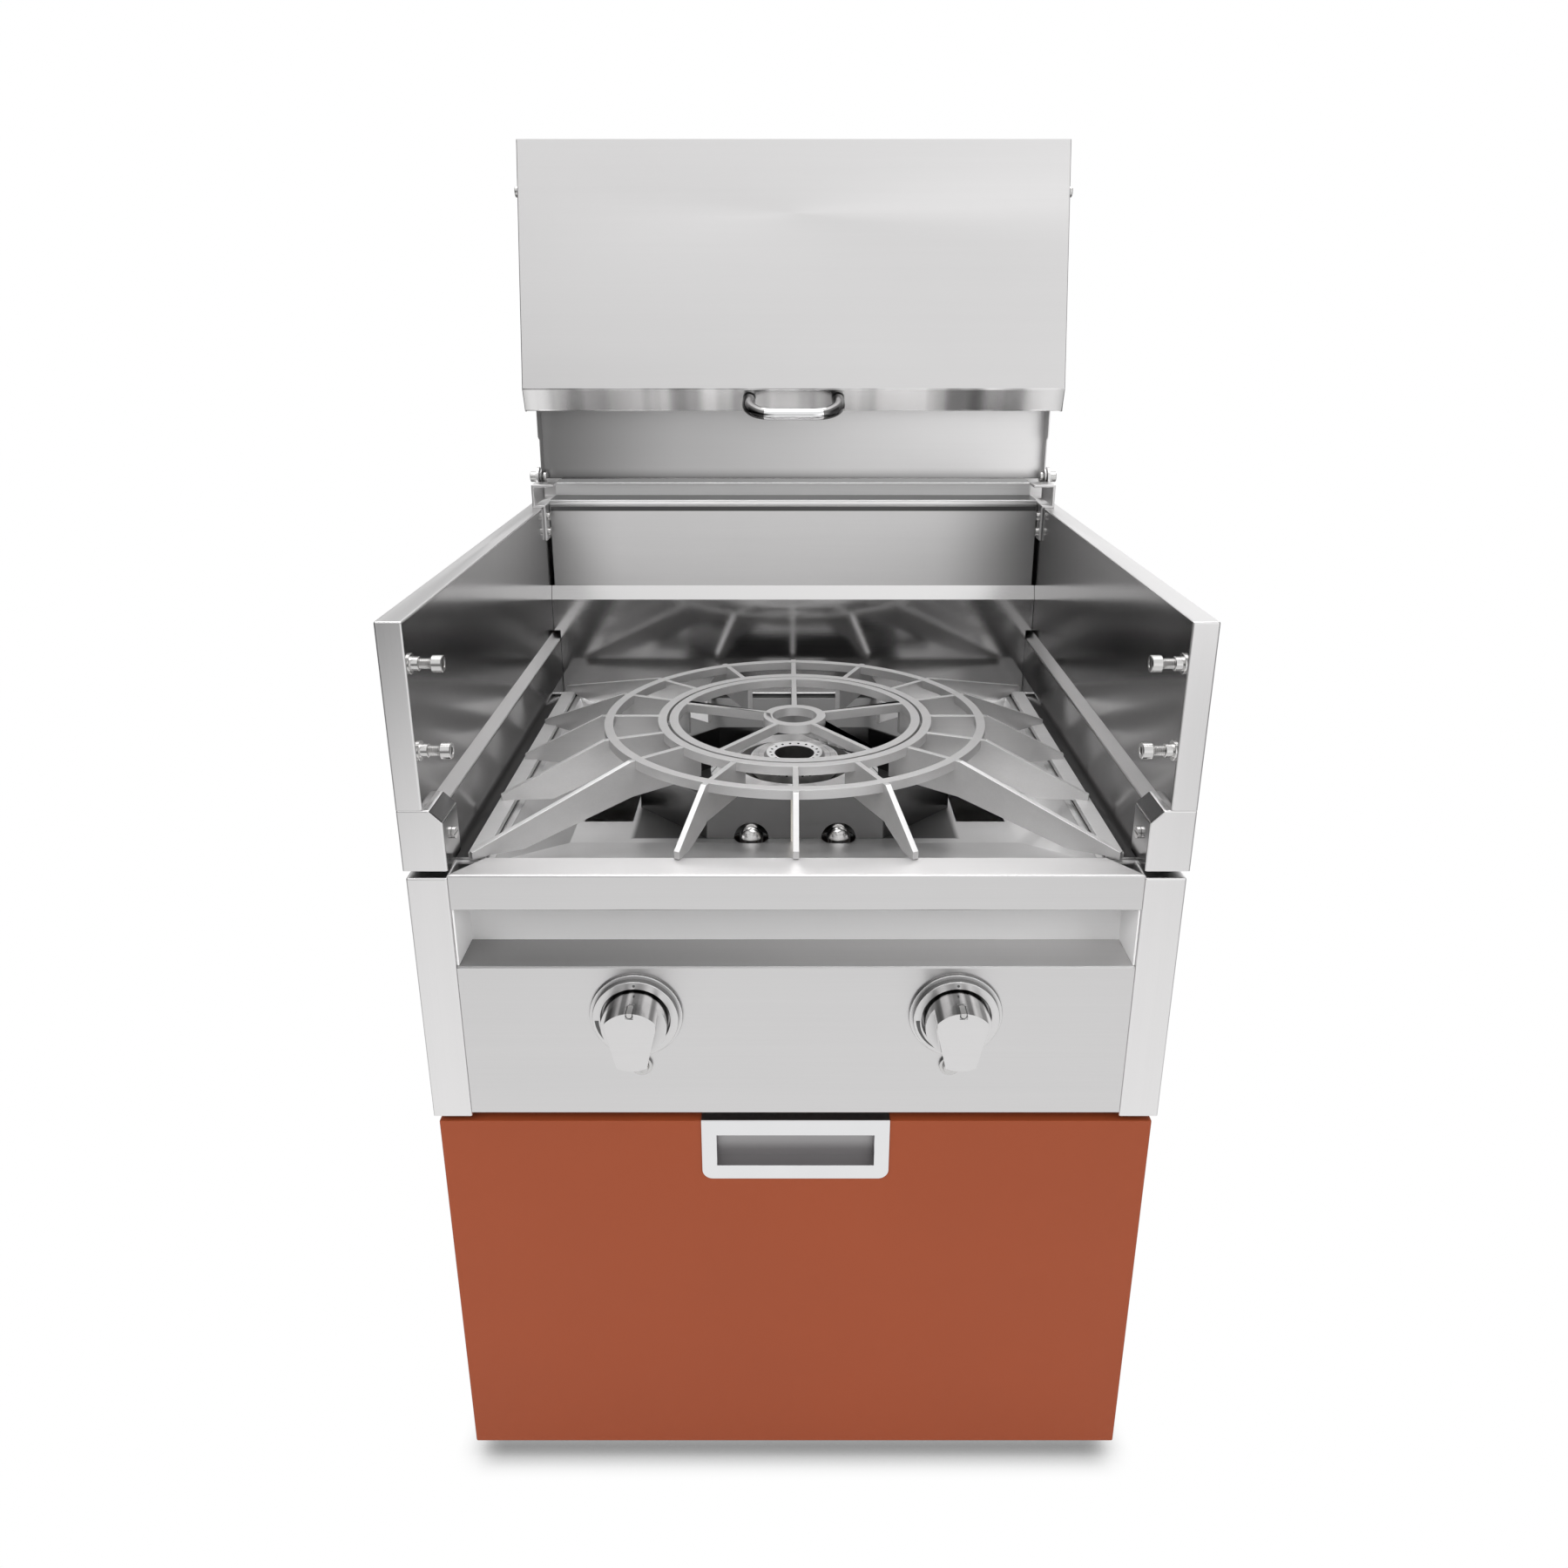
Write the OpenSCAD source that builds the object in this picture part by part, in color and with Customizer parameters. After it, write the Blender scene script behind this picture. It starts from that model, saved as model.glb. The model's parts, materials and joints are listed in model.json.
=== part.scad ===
// Freestanding outdoor power burner: a cabinet with a cylinder drawer, a burner head with wind
// panels, a wok grate and a cover that folds in two. X runs across, Y from front to back, Z up.
// Pieces are laid out with the fascia's front plane at y = 0 and then moved back by half the depth.

/* [Overall] */
// Outside width of the burner head
unit_w = 614; // [560:1:760]
// Depth from the fascia's front plane to the back
body_d = 600; // [590:1:680]
// Step in from the head's side to the fascia's side
fascia_inset = 1.7; // [1:0.1:4]
// Step in from the head's side to the drawer front's side
front_inset = 4.6; // [4:0.1:9]
// Thickness of folded sheet
sheet = 1.5; // [1:0.1:2]

/* [Heights] */
// Ground to the cabinet's lower edge
foot_h = 20; // [16:1:35]
// Height of the drawer front
drawer_front_h = 367.5; // [330:0.5:450]
// Gap between the drawer front and the fascia
front_gap = 7.5; // [5:0.5:12]
// Height of the fascia posts
fascia_h = 223.6; // [215:0.1:260]
// Reveal between the posts and the burner head
head_gap = 6.1; // [4:0.1:9]
// Height of the burner head's side beams
head_h = 51.5; // [48:0.5:70]
// Height of the wind panels
wind_h = 149.5; // [110:0.5:190]

/* [Cabinet] */
// Front edge of the cabinet behind the fascia plane
cab_front = 24; // [24:0.5:30]
// Width of the cabinet's turned-in back and top edges
cab_flange = 20; // [12:1:30]
// Height of the floor's turned-down edge
floor_lip = 8; // [6:0.5:14]
// Diameter of a levelling foot
foot_d = 38; // [25:1:60]
// Diameter of a foot's stem
stem_d = 10; // [8:0.5:12]
// Feet from the centre line
foot_x = 245; // [150:1:255]
// Diameter of an anchor hole in the floor
anchor_d = 9; // [6:0.5:12]
// Anchor holes across
anchor_x = 360; // [260:1:420]
// Anchor holes front to back
anchor_y = 400; // [300:1:440]

/* [Drawer] */
// Drawer front's face behind the fascia plane
door_y = 3; // [2:0.5:4]
// Thickness of the drawer front
door_t = 19; // [17:0.5:20]
// Width of the flush pull
pull_w = 160; // [120:1:220]
// Height of the flush pull
pull_h = 59; // [45:0.5:80]
// Width of the pull's pocket
pocket_w = 134; // [90:1:190]
// Height of the pull's pocket
pocket_h = 31; // [22:0.5:50]
// Pull's top edge to the pocket's top edge
pocket_drop = 14.5; // [8:0.5:22]
// Depth of the pull's pocket
pocket_d = 14; // [8:0.5:15]
// Thickness of the pull's plate
pull_t = 1.2; // [0.8:0.1:2]
// Height of the tray's sides
tray_h = 110; // [100:1:160]
// Length of the tray
tray_l = 500; // [440:1:530]
// Inside diameter of the ring that holds the cylinder
ring_d = 212; // [180:1:320]
// Height of the ring that holds the cylinder
ring_h = 60; // [30:1:100]
// Height of a runner
runner_h = 45; // [36:1:60]
// Length of a runner
runner_l = 480; // [420:1:520]
// Thickness of a runner from cabinet to tray
runner_t = 13; // [12.5:0.5:16]

/* [Fascia] */
// Width of a post
post_w = 32.6; // [26:0.1:45]
// Depth of a post
post_d = 30; // [20:1:40]
// Height of the control panel
panel_h = 141.5; // [125:0.5:150]
// Depth of the recess above the control panel
recess_d = 42.6; // [36:0.1:55]
// Height of the front rail's face
rail_h = 31; // [24:0.5:34]
// Depth of the front rail's top
rail_d = 31.6; // [26:0.1:35]
// Step from the posts' top up to the rail's top
rail_step = 2.4; // [1:0.1:4]

/* [Controls] */
// Knobs from the centre line
knob_x = 130; // [110:1:170]
// Knobs above the panel's lower edge
knob_z = 97.5; // [85:0.5:105]
// Diameter of a knob
knob_d = 53; // [42:0.5:56]
// How far a knob's face stands before the panel
knob_reach = 39; // [34:1:50]
// Depth of a knob's round body before its grip starts
drum_reach = 19; // [16:1:24]
// Width of the grip at its top
grip_w = 40; // [30:0.5:42]
// Width of the grip at its foot
grip_foot_w = 23; // [14:0.5:28]
// Diameter of a knob's bezel
bezel_d = 70; // [66:0.5:78]
// How far a bezel stands before the panel
bezel_reach = 8; // [6:0.5:10]
// Diameter of a valve stem
stem_shaft_d = 8; // [6:0.5:10]
// Travel of a knob when it is pushed in
knob_push = 3; // [2:0.5:3.5]
// Buttons from the centre line
button_x = 127.5; // [110:0.5:170]
// Buttons above the panel's lower edge
button_z = 49; // [30:0.5:52]
// Diameter of a button
button_d = 12; // [8:0.5:14]
// Travel of a button
button_push = 3; // [2:0.5:3.5]

/* [Head] */
// Width of a corner block
block_w = 35.3; // [33:0.1:44]
// Depth of a corner block
block_d = 38; // [34:0.5:45]
// Chamfer along the side beams
chamfer = 10; // [6:0.5:14]
// Thickness of a wind panel
wind_t = 20.5; // [16:0.5:26]
// Front side of the back wall before the back
back_space = 75; // [70:1:85]
// Height of the joint in the back wall above the beams
back_joint = 46; // [30:1:60]
// Lower joint sheet stands before the upper by
back_step = 7; // [5:0.5:10]
// Height of the trim over the wind panels
trim_h = 20; // [14:0.5:24]

/* [Cover] */
// Pivot above the wind panels
pivot_h = 30.3; // [29:0.1:34]
// Lower pivot before the back
pivot_back = 60; // [55:0.5:66]
// Lower pivot to upper pivot
leaf_l = 307; // [260:1:310]
// Rear leaf leans back by this many degrees
rear_lean = 2; // [1:0.5:4]
// Front leaf hangs forward of the rear leaf by this many degrees
fold_gap = 10.4; // [10:0.1:14]
// Step in from the head's side to the front leaf's side
leaf_inset = 8.5; // [8.5:0.5:12]
// Step in from the front leaf's side to the rear leaf's side
leaf_step = 5.5; // [5.5:0.5:8]
// Thickness of the cover's sheet
lid_t = 1.2; // [0.8:0.1:1.5]
// Depth of the rear leaf's sides
leaf_depth = 22; // [18:0.5:23]
// Front leaf's length above its pivot
leaf_over = 50; // [30:1:60]
// Front leaf's length from its pivot to the lip's bend
leaf_drop = 213; // [212:1:216]
// Width of the lip
lip_w = 25; // [18:0.5:34]
// The lip turns back by this many degrees
lip_bend = 30; // [20:1:45]
// Diameter of the pivot bolts
pivot_d = 8; // [6:0.5:10]
// Width of the handle
handle_w = 110; // [80:1:180]
// Handle's bar before the lip
handle_reach = 40; // [34:1:55]
// Diameter of the handle's bar
handle_d = 12; // [8:0.5:16]

/* [Grate] */
// Centre of the burner behind the fascia plane
burner_y = 240.4; // [236:0.1:244]
// Gap between the grate's side bars and the beams
grate_side = 13.6; // [13:0.1:39]
// Half depth of the grate between its blade ends
grate_y = 213.4; // [209:0.1:214]
// Grate's top above the front rail
grate_h = 47; // [36:0.5:60]
// Outer ring's outer radius
outer_ring_r = 182.3; // [160:0.1:190]
// Middle ring's outer radius
middle_ring_r = 131.5; // [110:0.1:145]
// Width of a ring's bar
ring_w = 8.5; // [6:0.5:10]
// Height of a ring's bar
ring_bar_h = 8.5; // [6:0.5:10]
// Gap round the centre grate
centre_gap = 2.5; // [1.5:0.1:4]
// Thickness of a blade
blade_t = 5; // [4:0.5:8]
// Depth of a blade
blade_depth = 33; // [20:1:36]
// Width of a side bar
bar_w = 14; // [12:0.5:20]
// Thickness of a side bar
bar_t = 5; // [4:0.5:6]

/* [Burner] */
// Depth of the pan under the front rail's top
pan_depth = 41; // [36:1:60]
// Radius of the outer burner
outer_burner_r = 82; // [72:1:88]
// Radius of the gap between the burners
gap_r = 57; // [50:1:62]
// Radius of the inner burner's disc
disc_r = 43; // [36:1:46]
// Radius of the inner burner's ported ring
port_ring_r = 27.5; // [22:0.5:32]
// Radius of the inner burner's bore
burner_bore_r = 19; // [12:0.5:20]
// Inner burner's top above the front rail
burner_rise = 9; // [4:0.5:14]
// Number of slots in the outer burner
outer_slots = 40; // [16:1:60]
// Diameter of the manifold
manifold_d = 22; // [18:1:26]
// Thread diameter of the gas inlet, 5/8 inch flare
inlet_d = 15.9; // [12:0.1:22]
// Length of the gas inlet's thread
inlet_l = 16; // [12:1:22]

/* [Hidden] */
$fn = 48;

// Seat between pieces that rest on each other, and gap between pieces that slide
seat = 0.3;
slip = 0.5;
// Radial clearance of a shaft that turns or slides in a hole
run_gap = 0.05;

// Half widths
head_x = unit_w / 2;
fascia_x = head_x - fascia_inset;
door_x = head_x - front_inset;
cab_x = door_x - 2.4;
cab_in = cab_x - sheet;
post_in = fascia_x - post_w;
wind_in = head_x - wind_t;
beam_w = 28;
beam_in = head_x - beam_w;
grate_x = beam_in - grate_side;

// Levels
door_z0 = foot_h;
door_z1 = door_z0 + drawer_front_h;
fascia_z0 = door_z1 + front_gap;
fascia_z1 = fascia_z0 + fascia_h;
deck_z = fascia_z1 + rail_step;
head_z0 = fascia_z1 + head_gap;
head_z1 = head_z0 + head_h;
wind_z1 = head_z1 + wind_h;
floor_z = door_z0 + floor_lip;
pan_z = deck_z - pan_depth;
panel_z0 = fascia_z0 + 2.7;
panel_z1 = panel_z0 + panel_h;
knob_axis_z = panel_z0 + knob_z;
button_axis_z = panel_z0 + button_z;

// The knobs stand furthest forward and the rear panel furthest back
y_shift = -(body_d - knob_reach) / 2;

// Folded sheet: an open line of bends in a plane, thickened to its left by t
function unit(v) = v / norm(v);
function left_of(v) = [-v[1], v[0]];
function leg(p, i) = unit(p[min(i + 1, len(p) - 1)] - p[min(i, len(p) - 2)]);
function bend(p, i) =
    let (a = leg(p, max(i - 1, 0)), b = leg(p, min(i, len(p) - 2)), m = left_of(a) + left_of(b))
    m / (m * left_of(a));
function folded(p, t) =
    concat(p, [for (i = [len(p) - 1 : -1 : 0]) p[i] + t * bend(p, i)]);

// A block between two corners
module span(low, high) {
    translate(low) cube(high - low);
}

// A profile drawn in y and z, carried across from x0 to x1
module across(x0, x1) {
    translate([x0, 0, 0]) rotate([90, 0, 90]) linear_extrude(x1 - x0) children();
}

// A profile drawn in x and z, carried back from y0 to y1
module along(y0, y1) {
    translate([0, y1, 0]) rotate([90, 0, 0]) linear_extrude(y1 - y0) children();
}

// A cylinder along x, y or z that starts at a point
module rod_x(at, r, l) {
    translate(at) rotate([0, 90, 0]) cylinder(r = r, h = l);
}
module rod_y(at, r, l) {
    translate(at) rotate([-90, 0, 0]) cylinder(r = r, h = l);
}
module rod_z(at, r, l) {
    translate(at) cylinder(r = r, h = l);
}

// Right-hand pieces are drawn on +x, left-hand ones are their mirror image
module side(s) {
    if (s > 0) children();
    else mirror([1, 0, 0]) children();
}
module both() {
    children();
    mirror([1, 0, 0]) children();
}
module placed() {
    translate([0, y_shift, 0]) children();
}

// Levelling feet
foot_pad_h = 8;
foot_nut_h = 6;
foot_inset = 42;
foot_back = 60;
foot_y = [cab_front + foot_inset, body_d - foot_back];
module levelling_feet() color("dimgray") placed() both() for (y = foot_y) {
    rod_z([foot_x, y, 0], foot_d / 2, foot_pad_h);
    rod_z([foot_x, y, foot_pad_h], stem_d / 2, floor_z + sheet + 6 - foot_pad_h);
    translate([foot_x, y, floor_z - seat - foot_nut_h]) cylinder(d = stem_d * 1.7, h = foot_nut_h, $fn = 6);
}

// Cabinet
cab_back_in = body_d - 2 * sheet;
module cabinet_floor() color("silver") placed() difference() {
    span([-cab_in, cab_front + sheet, door_z0], [cab_in, cab_back_in, floor_z + sheet]);
    span([-cab_in + sheet, cab_front + 2 * sheet, door_z0 - 1], [cab_in - sheet, cab_back_in - sheet, floor_z]);
    both() for (y = foot_y) rod_z([foot_x, y, door_z0], stem_d / 2 + run_gap, floor_lip + sheet + 1);
    both() for (s = [-1, 1])
        rod_z([anchor_x / 2, anchor_mid + s * anchor_y / 2, door_z0], anchor_d / 2, floor_lip + sheet + 1);
}
anchor_mid = (cab_front + body_d) / 2;

// A side sheet with its back and top edges turned in
module cabinet_side() {
    span([cab_in, cab_front, door_z0], [cab_x, body_d, fascia_z0]);
    span([cab_x - cab_flange, body_d - sheet, door_z0], [cab_x, body_d, fascia_z0]);
    span([cab_x - cab_flange, cab_front, fascia_z0 - sheet], [cab_x, body_d, fascia_z0]);
}
module cabinet_side_left() color("sienna") placed() side(-1) cabinet_side();
module cabinet_side_right() color("sienna") placed() side(1) cabinet_side();

vent_w = 160;
vent_h = 5;
module cabinet_back() color("silver") placed() difference() {
    span([-cab_in, cab_back_in, door_z0], [cab_in, body_d - sheet, fascia_z0 - sheet]);
    for (z = [door_z0 + 40, fascia_z0 - 90], k = [0 : 3])
        span([-vent_w / 2, cab_back_in - 1, z + k * 12], [vent_w / 2, body_d, z + k * 12 + vent_h]);
}

frame_w = 40;
frame_lip = 22;
module cabinet_top_frame() color("silver") placed() difference() {
    span([-cab_in, cab_front + sheet, fascia_z0 - sheet - frame_lip], [cab_in, cab_back_in, fascia_z0 - sheet]);
    span([-cab_in + sheet, cab_front + 2 * sheet, fascia_z0 - sheet - frame_lip - 1],
        [cab_in - sheet, cab_back_in - sheet, fascia_z0 - 2 * sheet]);
    span([-cab_in + frame_w, cab_front + frame_w, fascia_z0 - 2 * sheet - 1],
        [cab_in - frame_w, cab_back_in - frame_w, fascia_z0]);
}

// Telescopic runners: three channels inside one another, each side of the tray
runner_wall = 1.2;
runner_step = runner_wall + slip;
runner_y = cab_front + 12;
tray_x = cab_in - runner_t;
tray_z = floor_z + sheet + 14;
runner_mid_z = tray_z + tray_h / 2 + 6;
runner_far = cab_in - seat;

// A channel that opens towards x0, with its web at x1
module channel(x0, x1, h) {
    span([x1 - runner_wall, runner_y, runner_mid_z - h / 2], [x1, runner_y + runner_l, runner_mid_z + h / 2]);
    for (s = [-1, 1]) {
        low = runner_mid_z + s * h / 2 - (s > 0 ? runner_wall : 0);
        span([x0, runner_y, low], [x1, runner_y + runner_l, low + runner_wall]);
    }
}
module outer_runners() color("lightgray") placed() both()
    channel(tray_x + 2 * runner_wall, runner_far, runner_h);
module middle_runners() color("lightgray") placed() both()
    channel(tray_x + 2 * runner_wall, runner_far - runner_step, runner_h - 2 * runner_step);
module inner_runners() color("lightgray") placed() both() {
    inner_h = runner_h - 4 * runner_step;
    mid = (tray_x + runner_far) / 2;
    span([tray_x, runner_y, runner_mid_z - inner_h / 2],
        [tray_x + runner_wall, runner_y + runner_l, runner_mid_z + inner_h / 2]);
    for (s = [-1, 1]) {
        low = runner_mid_z + s * inner_h / 2 - (s > 0 ? runner_wall : 0);
        span([tray_x, runner_y, low], [mid, runner_y + runner_l, low + runner_wall]);
    }
}

// Tray for the gas cylinder, with the ring that holds it
liner_y = door_y + door_t - sheet;
tray_y0 = door_y + door_t;
module cylinder_tray() color("silver") placed() {
    difference() {
        span([-tray_x, tray_y0, tray_z], [tray_x, tray_y0 + tray_l, tray_z + tray_h]);
        span([-tray_x + sheet, tray_y0 + sheet, tray_z + sheet],
            [tray_x - sheet, tray_y0 + tray_l - sheet, tray_z + tray_h + 1]);
        span([-tray_x + sheet, tray_y0 + tray_l / 2, tray_z + tray_h / 2],
            [tray_x - sheet, tray_y0 + tray_l + 1, tray_z + tray_h + 1]);
    }
    translate([0, tray_y0 + tray_l / 2, tray_z + sheet / 2]) difference() {
        cylinder(r = ring_d / 2 + 2, h = ring_h);
        translate([0, 0, -1]) cylinder(r = ring_d / 2, h = ring_h + 2);
    }
    translate([0, tray_y0 + tray_l / 2, tray_z]) cylinder(r = ring_d / 2 + 1, h = sheet);
}

module drawer_liner() color("gainsboro") placed()
    span([-door_x + sheet, liner_y, door_z0 + sheet], [door_x - sheet, liner_y + sheet, door_z1 - sheet]);

// The drawer front is a pan of sheet, open behind, with a window for the pull's pocket
pocket_z1 = door_z1 - pocket_drop;
pocket_z0 = pocket_z1 - pocket_h;
pocket_wall = 1;
module drawer_front() color("sienna") placed() difference() {
    span([-door_x, door_y, door_z0], [door_x, door_y + door_t, door_z1]);
    span([-door_x + sheet, door_y + sheet, door_z0 + sheet],
        [door_x - sheet, door_y + door_t + 1, door_z1 - sheet]);
    span([-pocket_w / 2 - pocket_wall, door_y - 1, pocket_z0 - pocket_wall],
        [pocket_w / 2 + pocket_wall, door_y + sheet + 1, pocket_z1 + pocket_wall]);
}

// Flush pull: a plate that laps over the drawer front's top edge, with a pocket behind it
pull_corner = 9;
module flush_pull() color("whitesmoke") placed() {
    difference() {
        union() {
            along(door_y - pull_t, door_y) pull_outline();
            span([-pull_w / 2, door_y - pull_t, door_z1], [pull_w / 2, door_y + 9, door_z1 + pull_t]);
        }
        span([-pocket_w / 2, door_y - pull_t - 1, pocket_z0], [pocket_w / 2, door_y + 1, pocket_z1]);
    }
    difference() {
        span([-pocket_w / 2 - pocket_wall, door_y - pull_t / 2, pocket_z0 - pocket_wall],
            [pocket_w / 2 + pocket_wall, door_y + pocket_d, pocket_z1 + pocket_wall]);
        span([-pocket_w / 2, door_y - pull_t - 1, pocket_z0],
            [pocket_w / 2, door_y + pocket_d - pocket_wall, pocket_z1]);
    }
}
module pull_outline() {
    z0 = door_z1 - pull_h;
    translate([-pull_w / 2, z0 + pull_corner]) square([pull_w, pull_h - pull_corner]);
    translate([-pull_w / 2 + pull_corner, z0]) square([pull_w - 2 * pull_corner, pull_corner + 1]);
    for (s = [-1, 1]) translate([s * (pull_w / 2 - pull_corner), z0 + pull_corner]) circle(r = pull_corner);
}

// Chassis that carries the burner and closes the control space
chassis_lip = 30;
floor_rim = 60;
module chassis_floor() color("silver") placed() difference() {
    span([-fascia_x + sheet, post_d, fascia_z0], [fascia_x - sheet, body_d - sheet, fascia_z0 + chassis_lip]);
    span([-fascia_x + 2 * sheet, post_d - 1, fascia_z0 + sheet],
        [fascia_x - 2 * sheet, body_d - 2 * sheet, fascia_z0 + chassis_lip + 1]);
    rod_z([inlet_x, inlet_y, fascia_z0 - 1], inlet_d / 2 + 2, sheet + 2);
    span([-cab_in + floor_rim, cab_front + 160, fascia_z0 - 1],
        [inlet_x - inlet_d - floor_rim, cab_back_in - floor_rim, fascia_z0 + sheet + 1]);
}
module chassis_side() {
    span([fascia_x - sheet, post_d, fascia_z0], [fascia_x, body_d - sheet, head_z0]);
}
module chassis_side_left() color("silver") placed() side(-1) chassis_side();
module chassis_side_right() color("silver") placed() side(1) chassis_side();

rear_x = fascia_x;
module rear_panel() color("silver") placed() difference() {
    span([-rear_x, body_d - sheet, fascia_z0], [rear_x, body_d, wind_z1 + trim_h]);
    for (k = [0 : 7]) span([-200, body_d - sheet - 1, fascia_z0 + 60 + k * 14],
        [200, body_d + 1, fascia_z0 + 60 + k * 14 + vent_h]);
}

// Fascia
module post() {
    difference() {
        span([post_in, 0, fascia_z0], [fascia_x, post_d, fascia_z1]);
        span([post_in + sheet, sheet, fascia_z0 - 1], [fascia_x - sheet, post_d + 1, fascia_z1 - sheet]);
    }
}
module post_left() color("silver") placed() side(-1) post();
module post_right() color("silver") placed() side(1) post();

panel_x = post_in - seat;
rail_mitre = 24;
module front_rail() color("gainsboro") placed() difference() {
    across(-panel_x, panel_x) polygon(folded([
        [12, deck_z - rail_h], [0, deck_z - rail_h], [0, deck_z], [rail_d, deck_z], [rail_d, deck_z - 18]], -sheet));
    both() translate([0, 0, deck_z - 20]) linear_extrude(21) polygon([
        [panel_x - 1, sheet + 1], [panel_x + 1, sheet + 1], [panel_x + 1, rail_d + 1],
        [panel_x - rail_mitre, rail_d + 1]]);
}

// The recessed sheet stands behind the rail and comes forward under it at both ends
module recess_panel() color("darkgray") placed() {
    span([-panel_x, recess_d, panel_z1 - 20], [panel_x, recess_d + sheet, deck_z - 22]);
    both() span([panel_x - sheet, sheet + seat, panel_z1 + seat], [panel_x, recess_d, deck_z - rail_h - seat]);
}

// Control panel: a face with its top turned back as the recess floor and its foot turned in
module control_panel() color("gainsboro") placed() difference() {
    across(-panel_x, panel_x) polygon(folded([
        [18, panel_z0], [0, panel_z0], [0, panel_z1], [recess_d - seat, panel_z1]], -sheet));
    both() rod_y([knob_x, -1, knob_axis_z], stem_shaft_d / 2 + 2, sheet + 2);
    both() rod_y([button_x, -1, button_axis_z], button_d / 2 + 1.5, sheet + 2);
}

// Controls
bezel_bore = knob_d / 2 + 1.5;
module knob_bezels() color("lightgray") placed() both() translate([knob_x, 0, knob_axis_z]) difference() {
    union() {
        rod_y([0, -3, 0], bezel_d / 2 + 3, 3);
        rod_y([0, -bezel_reach, 0], bezel_d / 2, bezel_reach);
    }
    rod_y([0, -bezel_reach - 1, 0], bezel_bore, bezel_reach + 2);
}
module button_bezels() color("lightgray") placed() both() translate([button_x, 0, button_axis_z]) difference() {
    union() {
        rod_y([0, -2.5, 0], button_d / 2 + 3, 2.5);
        rod_y([0, -1, 0], button_d / 2 + 1.4, 12);
    }
    rod_y([0, -4, 0], button_d / 2 + run_gap, 20);
}
module push_button() {
    rod_y([button_x, -button_push - 3, button_axis_z], button_d / 2, button_push + 12);
}
module button_left() color("silver") placed() side(-1) push_button();
module button_right() color("silver") placed() side(1) push_button();

valve_y0 = 12;
valve_l = 34;
knob_back = knob_push + 1.5;
stem_tip = drum_reach + 8;
module valve_stem() {
    rod_y([knob_x, -stem_tip, knob_axis_z], stem_shaft_d / 2, stem_tip + valve_y0 + valve_l - knob_push - 5);
}
module valve_stem_left() color("goldenrod") placed() side(-1) valve_stem();
module valve_stem_right() color("goldenrod") placed() side(1) valve_stem();

// A round knob whose front is cut away beside a tapered grip
module knob() translate([knob_x, 0, knob_axis_z]) difference() {
    union() {
        rod_y([0, -drum_reach, 0], knob_d / 2, drum_reach - knob_back);
        intersection() {
            rod_y([0, -knob_reach, 0], knob_d / 2, knob_reach - knob_back);
            along(-knob_reach, -drum_reach + 1) polygon([
                [-grip_foot_w / 2, -knob_d / 2], [grip_foot_w / 2, -knob_d / 2],
                [grip_w / 2, knob_d / 5], [grip_w / 2, knob_d / 2],
                [-grip_w / 2, knob_d / 2], [-grip_w / 2, knob_d / 5]]);
        }
    }
    rod_y([0, -stem_tip - 0.5, 0], stem_shaft_d / 2 + run_gap, stem_tip + 1);
    span([-3, -knob_reach - 1, knob_d / 2 - 5], [3, -knob_reach + 1, knob_d / 2 + 1]);
    span([-3, -knob_reach - 1, knob_d / 2 - 1.2], [3, -knob_reach + 14, knob_d / 2 + 1]);
}
module knob_left() color("lightgray") placed() side(-1) knob();
module knob_right() color("lightgray") placed() side(1) knob();

// Burner head: side beams, corner blocks and wind panels
ledge_z = deck_z + 2 - bar_t - seat;
ledge_in = grate_x - bar_w - 1;
module head_side() {
    along(block_d, body_d - sheet) polygon(folded([
        [fascia_x - sheet, head_z0], [head_x, head_z0], [head_x, head_z1], [beam_in + chamfer, head_z1],
        [beam_in, head_z1 - chamfer], [beam_in, ledge_z], [ledge_in, ledge_z]], sheet));
}
module head_side_left() color("silver") placed() side(-1) head_side();
module head_side_right() color("silver") placed() side(1) head_side();

block_in = head_x - block_w;
block_screw_y = block_d / 2 + 3;
block_screw_z = head_z0 + head_h * 0.45;
module corner_block() difference() {
    along(0, block_d) polygon([
        [block_in, head_z0], [head_x, head_z0], [head_x, head_z1],
        [block_in + chamfer, head_z1], [block_in, head_z1 - chamfer]]);
    along(sheet, block_d + 1) polygon([
        [block_in + sheet, head_z0 - 1], [head_x - sheet, head_z0 - 1], [head_x - sheet, head_z1 - sheet],
        [block_in + chamfer + sheet / 2, head_z1 - sheet], [block_in + sheet, head_z1 - chamfer - sheet / 2]]);
    rod_x([block_in - 1, block_screw_y, block_screw_z], screw_r + run_gap, sheet + 2);
}
module corner_block_left() color("silver") placed() side(-1) corner_block();
module corner_block_right() color("silver") placed() side(1) corner_block();

guard_y = 9;
guard_r = 4;
guard_l = 18;
guard_z = [head_z1 + 46, head_z1 + 115];
module wind_panel() difference() {
    span([wind_in, 0, head_z1], [head_x, body_d - sheet, wind_z1]);
    span([wind_in + sheet, sheet, head_z1 - 1], [head_x - sheet, body_d - 2 * sheet, wind_z1 - sheet]);
    for (z = guard_z) rod_x([wind_in - 1, guard_y, z], guard_r + run_gap, sheet + 2);
    for (z = bracket_screw_z) rod_x([wind_in - 1, tab_y + tab_w / 2, z], screw_r + run_gap, sheet + 2);
}
module wind_panel_left() color("gainsboro") placed() side(-1) wind_panel();
module wind_panel_right() color("gainsboro") placed() side(1) wind_panel();

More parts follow.
